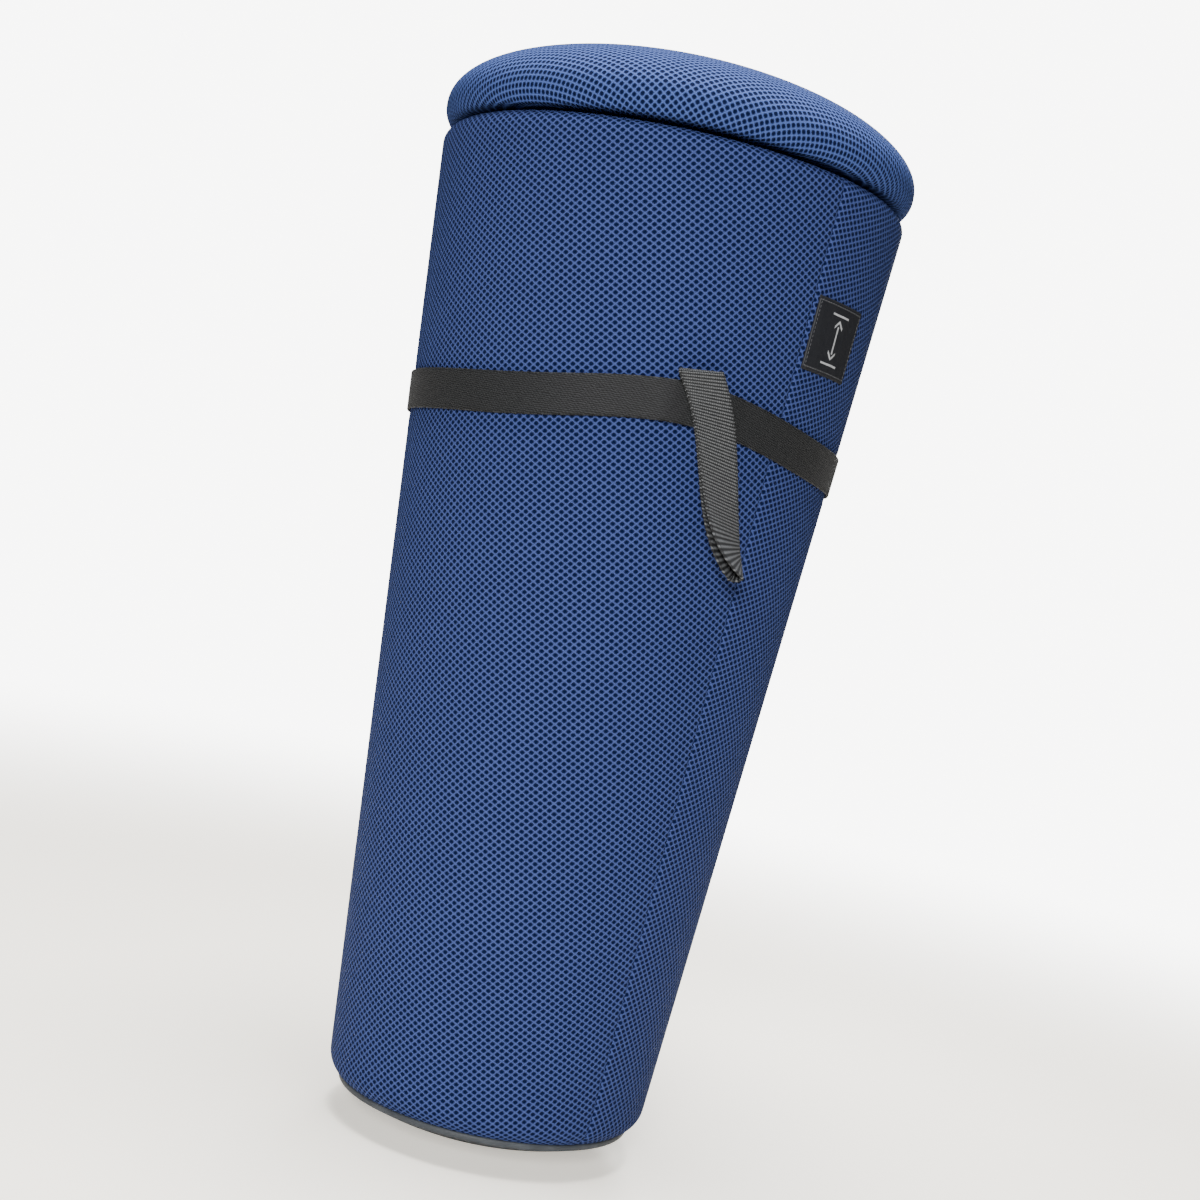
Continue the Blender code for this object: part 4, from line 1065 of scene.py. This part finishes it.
def grown(name, mesh, tree, values):
    """Runs a node tree on a mesh and keeps what it makes as a plain mesh."""
    seed = bpy.data.objects.new(name + "_seed", mesh)
    bpy.context.scene.collection.objects.link(seed)
    modifier = seed.modifiers.new("Grow", "NODES")
    modifier.node_group = tree
    for item in tree.interface.items_tree:
        if item.item_type == "SOCKET" and item.in_out == "INPUT" and item.name in values:
            modifier[item.identifier] = values[item.name]
    depsgraph = bpy.context.evaluated_depsgraph_get()
    made = bpy.data.meshes.new_from_object(seed.evaluated_get(depsgraph))
    bpy.data.objects.remove(seed, do_unlink=True)
    piece = bpy.data.objects.new(name, made)
    bpy.context.scene.collection.objects.link(piece)
    made.shade_smooth()
    return piece


def make_label_stitches():
    """The stitches round the label's edge."""
    inset_angle, inset_height = math.radians(0.9), 0.0022
    low = (LABEL_LOW[0] + inset_angle, LABEL_LOW[1] + inset_height)
    high = (LABEL_HIGH[0] - inset_angle, LABEL_HIGH[1] - inset_height)
    corners = [(low[0], low[1]), (high[0], low[1]), (high[0], high[1]), (low[0], high[1])]
    path = []
    for (a, b), (c, d) in zip(corners, corners[1:] + corners[:1]):
        path += [(a + (c - a) * i / 12, b + (d - b) * i / 12) for i in range(12)]
    mesh = bpy.data.meshes.new("label_stitch_line")
    count = len(path)
    mesh.from_pydata([on_cone(a, h, 0.00112) for a, h in path],
                     [(i, (i + 1) % count) for i in range(count)], [])
    stitches = grown("label_stitches", mesh, stitch_tree(), {
        "Spacing": 0.0026, "Stitch length": 0.0019, "Thickness": 0.00042,
        "Thread": finish_of("stitch_thread")})
    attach(stitches, "base")


def screw_tree():
    """A node tree that puts a pan-head screw with a hexagon socket on each point."""
    tree = bpy.data.node_groups.new("pan_screws", "GeometryNodeTree")
    face = tree.interface
    face.new_socket("Places", in_out="INPUT", socket_type="NodeSocketGeometry")
    for name, value in (("Head radius", 0.005), ("Head height", 0.0035)):
        face.new_socket(name, in_out="INPUT", socket_type="NodeSocketFloat").default_value = value
    face.new_socket("Metal", in_out="INPUT", socket_type="NodeSocketMaterial")
    face.new_socket("Screws", in_out="OUTPUT", socket_type="NodeSocketGeometry")
    nodes, link = tree.nodes, tree.links.new
    given = nodes.new("NodeGroupInput")
    ball = nodes.new("GeometryNodeMeshUVSphere")
    ball.inputs["Segments"].default_value = 24
    ball.inputs["Rings"].default_value = 16
    ball.inputs["Radius"].default_value = 1.0
    size = nodes.new("ShaderNodeCombineXYZ")
    for axis in ("X", "Y"):
        link(given.outputs["Head radius"], size.inputs[axis])
    link(given.outputs["Head height"], size.inputs["Z"])
    head = nodes.new("GeometryNodeTransform")
    link(ball.outputs["Mesh"], head.inputs["Geometry"])
    link(size.outputs["Vector"], head.inputs["Scale"])
    socket = nodes.new("GeometryNodeMeshCylinder")
    socket.inputs["Vertices"].default_value = 6
    socket.inputs["Radius"].default_value = 0.0023
    socket.inputs["Depth"].default_value = 0.004
    sunk = nodes.new("GeometryNodeTransform")
    sunk.inputs["Translation"].default_value = (0.0, 0.0, -0.0036)
    link(socket.outputs["Mesh"], sunk.inputs["Geometry"])
    cut = nodes.new("GeometryNodeMeshBoolean")
    cut.operation = "DIFFERENCE"
    link(head.outputs["Geometry"], cut.inputs["Mesh 1"])
    link(sunk.outputs["Geometry"], cut.inputs["Mesh 2"])
    place = nodes.new("GeometryNodeInstanceOnPoints")
    link(given.outputs["Places"], place.inputs["Points"])
    link(cut.outputs["Mesh"], place.inputs["Instance"])
    return ended(tree, place.outputs["Instances"], given.outputs["Metal"])


def make_seat_screws():
    """The four pan-head screws under the seat."""
    names = [f"seat_screw_{i}" for i in range(1, 5)]
    places = []
    for name in names:
        low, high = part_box(name)
        places.append(((low.x + high.x) / 2, (low.y + high.y) / 2, low.z + 0.0035))
    mesh = bpy.data.meshes.new("seat_screw_places")
    mesh.from_pydata(places, [], [])
    screws = grown("seat_screw_heads", mesh, screw_tree(), {
        "Head radius": 0.005, "Head height": 0.0035, "Metal": finish_of("steel")})
    screws.data.set_sharp_from_angle(angle=math.radians(35))
    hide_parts(*names)
    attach(screws, "seat")


# ---------------------------------------------------------------- turned pieces

def make_sole():
    """The domed rubber sole, with a fine lip and shallow rings moulded in its underside."""
    def dome(radius, depth=0.0):
        inner = math.sqrt((DOME_RADIUS - depth) ** 2 - FLAT_RADIUS**2)
        if radius <= FLAT_RADIUS:
            return depth
        return depth + inner - math.sqrt((DOME_RADIUS - depth) ** 2 - radius**2)

    top = SOLE_TOP - GAP
    edge = 0.0015
    line = [(SOLE_RADIUS - 0.005, top)]
    line += arc((SOLE_RADIUS - edge, top - edge), edge, math.pi / 2, 0.0, 4)
    rim = dome(SOLE_RADIUS)
    line += [(SOLE_RADIUS, rim + 0.0009), (SOLE_RADIUS - 0.0006, dome(SOLE_RADIUS - 0.0009))]
    radius = SOLE_RADIUS - 0.006
    while radius > FLAT_RADIUS + 0.004:
        for away, depth in ((0.0, 0.0), (0.0006, 0.0007), (0.0014, 0.0007), (0.0020, 0.0)):
            line.append((radius - away, dome(radius - away) + depth))
        radius -= 0.008
    line += [(FLAT_RADIUS, 0.0), (0.0, 0.0)]
    inside = SOLE_RADIUS - 0.005
    inner = [(0.0, 0.005)] + [(FLAT_RADIUS + (inside - FLAT_RADIUS) * i / 8,
                               dome(FLAT_RADIUS + (inside - FLAT_RADIUS) * i / 8, 0.005))
                              for i in range(9)]
    sole = turned("rubber_sole", inner + line, 160, finish_of("rubber"), closed=False, sharp=40)
    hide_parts("sole")
    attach(sole, "base")


def bevelled(points, size):
    """A closed profile with each corner cut by a small chamfer."""
    line = []
    count = len(points)
    for i, point in enumerate(points):
        for other in (points[i - 1], points[(i + 1) % count]):
            length = math.dist(point, other)
            share = min(size, length * 0.35) / length
            line.append(tuple(p + (q - p) * share for p, q in zip(point, other)))
    return line


def make_well_and_spring():
    """The moulded well in the body's top, the gas cylinder and its socket."""
    low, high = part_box("top_collar")
    lip, lip_low, wall, floor = high.x, BODY_TOP - 0.0032, high.x - 0.011, low.z
    well = [(lip, high.z), (lip, lip_low), (wall, lip_low), (wall, floor), (0.0253, floor),
            (0.0253, floor + 0.003), (wall - 0.003, floor + 0.003), (wall - 0.003, high.z)]
    collar = turned("moulded_well", bevelled(well, 0.0006), 160, finish_of("black_plastic"),
                    sharp=50)
    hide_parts("top_collar")
    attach(collar, "base")
    low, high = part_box("gas_cylinder")
    bore = high.x - 0.002
    tube = [(high.x, high.z), (high.x, low.z), (0.0053, low.z), (0.0053, low.z + 0.006),
            (bore, low.z + 0.006), (bore, high.z - 0.014), (0.0033, high.z - 0.014),
            (0.0033, high.z)]
    cylinder = turned("gas_cylinder_tube", bevelled(tube, 0.0006), 96, finish_of("paint"),
                      sharp=50)
    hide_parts("gas_cylinder")
    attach(cylinder, "seat")
    low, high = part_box("taper_socket")
    ring = [(high.x, high.z), (high.x, low.z), (0.0143, low.z), (0.0143, high.z)]
    socket = turned("taper_socket_tube", bevelled(ring, 0.0008), 96, finish_of("paint"), sharp=50)
    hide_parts("taper_socket")
    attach(socket, "seat")


CAD_FINISHES = {
    "base_dish": "black_plastic", "outer_shell": "grey_plastic", "column_tube": "paint",
    "guide_bush": "grey_plastic", "ballast_ring": "casting", "lower_race": "steel",
    "ball_cage": "grey_plastic", "piston_rod": "steel", "piston_head": "grey_plastic",
    "upper_race": "steel", "rod_clip": "steel", "mount_plate": "paint",
    "lever_bracket": "paint", "pivot_pin": "steel", "seat_board": "plywood",
    "release_lever": "paint", "valve_button": "steel",
    **{f"base_screw_{i}": "steel" for i in range(1, 5)},
}


def paint_packed_pieces():
    """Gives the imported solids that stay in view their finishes."""
    for node, finish in CAD_FINISHES.items():
        slots = NODES[node].material_slots
        if not slots:
            raise RuntimeError(f"{node} has no material slot")
        for slot in slots:
            slot.material = finish_of(finish)


# ---------------------------------------------------------------- stage

def make_stage():
    """The floor, the soft lights and the camera."""
    scene = bpy.context.scene
    mesh = bpy.data.meshes.new("floor")
    half = 30.0
    mesh.from_pydata([(-half, -half, -0.0002), (half, -half, -0.0002),
                      (half, half, -0.0002), (-half, half, -0.0002)], [], [(0, 1, 2, 3)])
    mesh.materials.append(finish_of("floor"))
    floor = bpy.data.objects.new("floor", mesh)
    scene.collection.objects.link(floor)
    world = bpy.data.worlds.new("pale_room")
    scene.world = world
    world.use_nodes = True
    tree = world.node_tree
    light = tree.nodes["Background"]
    light.inputs["Color"].default_value = (*settings().room_colour, 1.0)
    light.inputs["Strength"].default_value = settings().room_light
    wall = tree.nodes.new("ShaderNodeBackground")
    wall.inputs["Color"].default_value = (1.0, 1.0, 0.99, 1.0)
    wall.inputs["Strength"].default_value = settings().wall_light
    path = tree.nodes.new("ShaderNodeLightPath")
    mix = tree.nodes.new("ShaderNodeMixShader")
    tree.links.new(path.outputs["Is Camera Ray"], mix.inputs[0])
    tree.links.new(light.outputs[0], mix.inputs[1])
    tree.links.new(wall.outputs[0], mix.inputs[2])
    tree.links.new(mix.outputs[0], tree.nodes["World Output"].inputs["Surface"])
    for name, place, size, power in (
            ("key", (-0.3, -3.0, 1.2), 0.8, 165.0), ("top", (-0.1, -0.2, 3.0), 1.4, 285.0),
            ("back", (0.6, 3.0, 1.5), 1.2, 70.0)):
        light = bpy.data.lights.new(name, "AREA")
        light.size = size
        light.energy = power
        lamp = bpy.data.objects.new(name, light)
        lamp.location = place
        aim = Vector((0.0, 0.0, 0.38)) - Vector(place)
        lamp.rotation_euler = aim.to_track_quat("-Z", "Y").to_euler()
        scene.collection.objects.link(lamp)
    yaw, pitch, roll = 0.00697, -0.01189, settings().lean
    ahead = Vector((math.sin(yaw) * math.cos(pitch), math.cos(yaw) * math.cos(pitch),
                    math.sin(pitch)))
    right = Vector((math.cos(yaw), -math.sin(yaw), 0.0))
    up = right.cross(ahead)
    turned_right = right * math.cos(roll) + up * math.sin(roll)
    turned_up = up * math.cos(roll) - right * math.sin(roll)
    camera = bpy.data.objects.new("camera", bpy.data.cameras.new("camera"))
    camera.data.sensor_width = 36.0
    camera.data.lens = 55.5
    camera.data.clip_start = 0.05
    camera.data.clip_end = 200.0
    axes = Matrix((turned_right, turned_up, -ahead)).transposed().to_4x4()
    camera.matrix_world = Matrix.Translation((0.0, -1.21495, 0.3694)) @ axes
    scene.collection.objects.link(camera)
    scene.camera = camera


# ---------------------------------------------------------------- add-on

class LeaningStoolSettings(bpy.types.PropertyGroup):
    """Sizes and colours of the stool's looks."""

    knit_row: FloatProperty(
        name="Knit row", description="Spacing of the knit's holes along a row",
        default=0.00551, min=0.002, max=0.02, unit="LENGTH", precision=5)
    knit_column: FloatProperty(
        name="Knit column", description="Spacing of the knit's holes across the rows",
        default=0.00433, min=0.002, max=0.02, unit="LENGTH", precision=5)
    hole_width: FloatProperty(
        name="Hole width", description="Width of a hole in the knit",
        default=0.0023, min=0.0005, max=0.005, unit="LENGTH", precision=5)
    rib_pitch: FloatProperty(
        name="Rib pitch", description="Spacing of the loop webbing's ribs",
        default=0.0020, min=0.0005, max=0.01, unit="LENGTH", precision=5)
    swell: FloatProperty(
        name="Swell", description="The furthest that the cushion's knit may swell",
        default=0.0016, min=0.0, max=0.01, unit="LENGTH", precision=5)
    thread_colour: FloatVectorProperty(
        name="Knit thread", description="Colour of the sleeve's knit", subtype="COLOR",
        default=(0.0245, 0.0370, 0.115), min=0.0, max=1.0)
    # A lighter copy of the sleeve's knit thread: painted light for the top light on the cushion.
    lit_seat_thread_colour: FloatVectorProperty(
        name="Seat knit thread", description="Colour of the cushion's knit", subtype="COLOR",
        default=(0.0315, 0.0530, 0.163), min=0.0, max=1.0)
    # The knit's blue darkened: painted shade inside the knit's holes.
    hole_shade_colour: FloatVectorProperty(
        name="Knit hollow", description="Colour inside the knit's holes", subtype="COLOR",
        default=(0.0008, 0.0030, 0.022), min=0.0, max=1.0)
    floor_colour: FloatVectorProperty(
        name="Floor", description="Colour of the floor", subtype="COLOR",
        default=(0.80, 0.76, 0.68), min=0.0, max=1.0)
    room_colour: FloatVectorProperty(
        name="Room", description="Colour of the room's light", subtype="COLOR",
        default=(0.97, 0.98, 1.0), min=0.0, max=1.0)
    room_light: FloatProperty(
        name="Room light", description="Strength of the room's light", default=0.08, min=0.0)
    wall_light: FloatProperty(
        name="Wall brightness", description="How bright the room looks behind the stool",
        default=8.0, min=0.0)
    floor_glow: FloatProperty(
        name="Floor brightness", description="Light added to the floor", default=0.85, min=0.0)
    lean: FloatProperty(
        name="Lean", description="How far the stool leans in the camera's view",
        default=0.20639, subtype="ANGLE", unit="ROTATION")
    round_steps: IntProperty(
        name="Steps round", description="Number of facets round the sleeve", default=216, min=48)
    show_inside: BoolProperty(
        name="Paint inner pieces", description="Give the packed inner pieces their finishes",
        default=True)


class MakeStage(bpy.types.Operator):
    """Makes the floor, the lights and the camera"""
    bl_idname = "stool.stage"
    bl_label = "Stage"

    def execute(self, context):
        make_stage()
        return {"FINISHED"}


class MakeSleeve(bpy.types.Operator):
    """Makes the knitted sleeve over the body"""
    bl_idname = "stool.sleeve"
    bl_label = "Knitted sleeve"

    def execute(self, context):
        make_body_cover()
        return {"FINISHED"}


class MakeCushion(bpy.types.Operator):
    """Makes the seat cushion"""
    bl_idname = "stool.cushion"
    bl_label = "Seat cushion"

    def execute(self, context):
        make_seat_cushion()
        return {"FINISHED"}


class MakeWebbing(bpy.types.Operator):
    """Makes the belt, the carry loop and the loop's sewn end"""
    bl_idname = "stool.webbing"
    bl_label = "Belt and carry loop"

    def execute(self, context):
        make_belt()
        front, back = make_carry_loop()
        make_loop_tab(front, back)
        return {"FINISHED"}


class MakeLabel(bpy.types.Operator):
    """Makes the woven label and its stitches"""
    bl_idname = "stool.label"
    bl_label = "Label"

    def execute(self, context):
        make_label()
        make_label_stitches()
        return {"FINISHED"}


class MakeSole(bpy.types.Operator):
    """Makes the rubber sole"""
    bl_idname = "stool.sole"
    bl_label = "Sole"

    def execute(self, context):
        make_sole()
        return {"FINISHED"}


class MakeMetalwork(bpy.types.Operator):
    """Makes the well, the gas spring's tube, its socket and the seat's screws"""
    bl_idname = "stool.metalwork"
    bl_label = "Well, spring and screws"

    def execute(self, context):
        make_well_and_spring()
        make_seat_screws()
        return {"FINISHED"}


class PaintPacked(bpy.types.Operator):
    """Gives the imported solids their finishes"""
    bl_idname = "stool.paint"
    bl_label = "Finishes of the packed pieces"

    def execute(self, context):
        if settings().show_inside:
            paint_packed_pieces()
        return {"FINISHED"}


OPERATORS = (MakeStage, MakeSleeve, MakeCushion, MakeWebbing, MakeLabel, MakeSole,
             MakeMetalwork, PaintPacked)


class StoolPanel(bpy.types.Panel):
    """The stool's tools in the sidebar"""
    bl_idname = "VIEW3D_PT_leaning_stool"
    bl_label = "Leaning stool"
    bl_space_type = "VIEW_3D"
    bl_region_type = "UI"
    bl_category = "Stool"

    def draw(self, context):
        column = self.layout.column()
        for name in LeaningStoolSettings.__annotations__:
            column.prop(context.scene.leaning_stool, name)
        for operator in OPERATORS:
            column.operator(operator.bl_idname)


CLASSES = (LeaningStoolSettings, *OPERATORS, StoolPanel)


def register():
    """Registers the add-on's classes and settings."""
    for cls in CLASSES:
        bpy.utils.register_class(cls)
    bpy.types.Scene.leaning_stool = bpy.props.PointerProperty(type=LeaningStoolSettings)


def unregister():
    """Removes the add-on's classes and settings."""
    del bpy.types.Scene.leaning_stool
    for cls in reversed(CLASSES):
        bpy.utils.unregister_class(cls)


def main():
    """Makes every piece."""
    register()
    for operator in OPERATORS:
        group, name = operator.bl_idname.split(".")
        getattr(getattr(bpy.ops, group), name)()


if __name__ == "__main__":
    main()
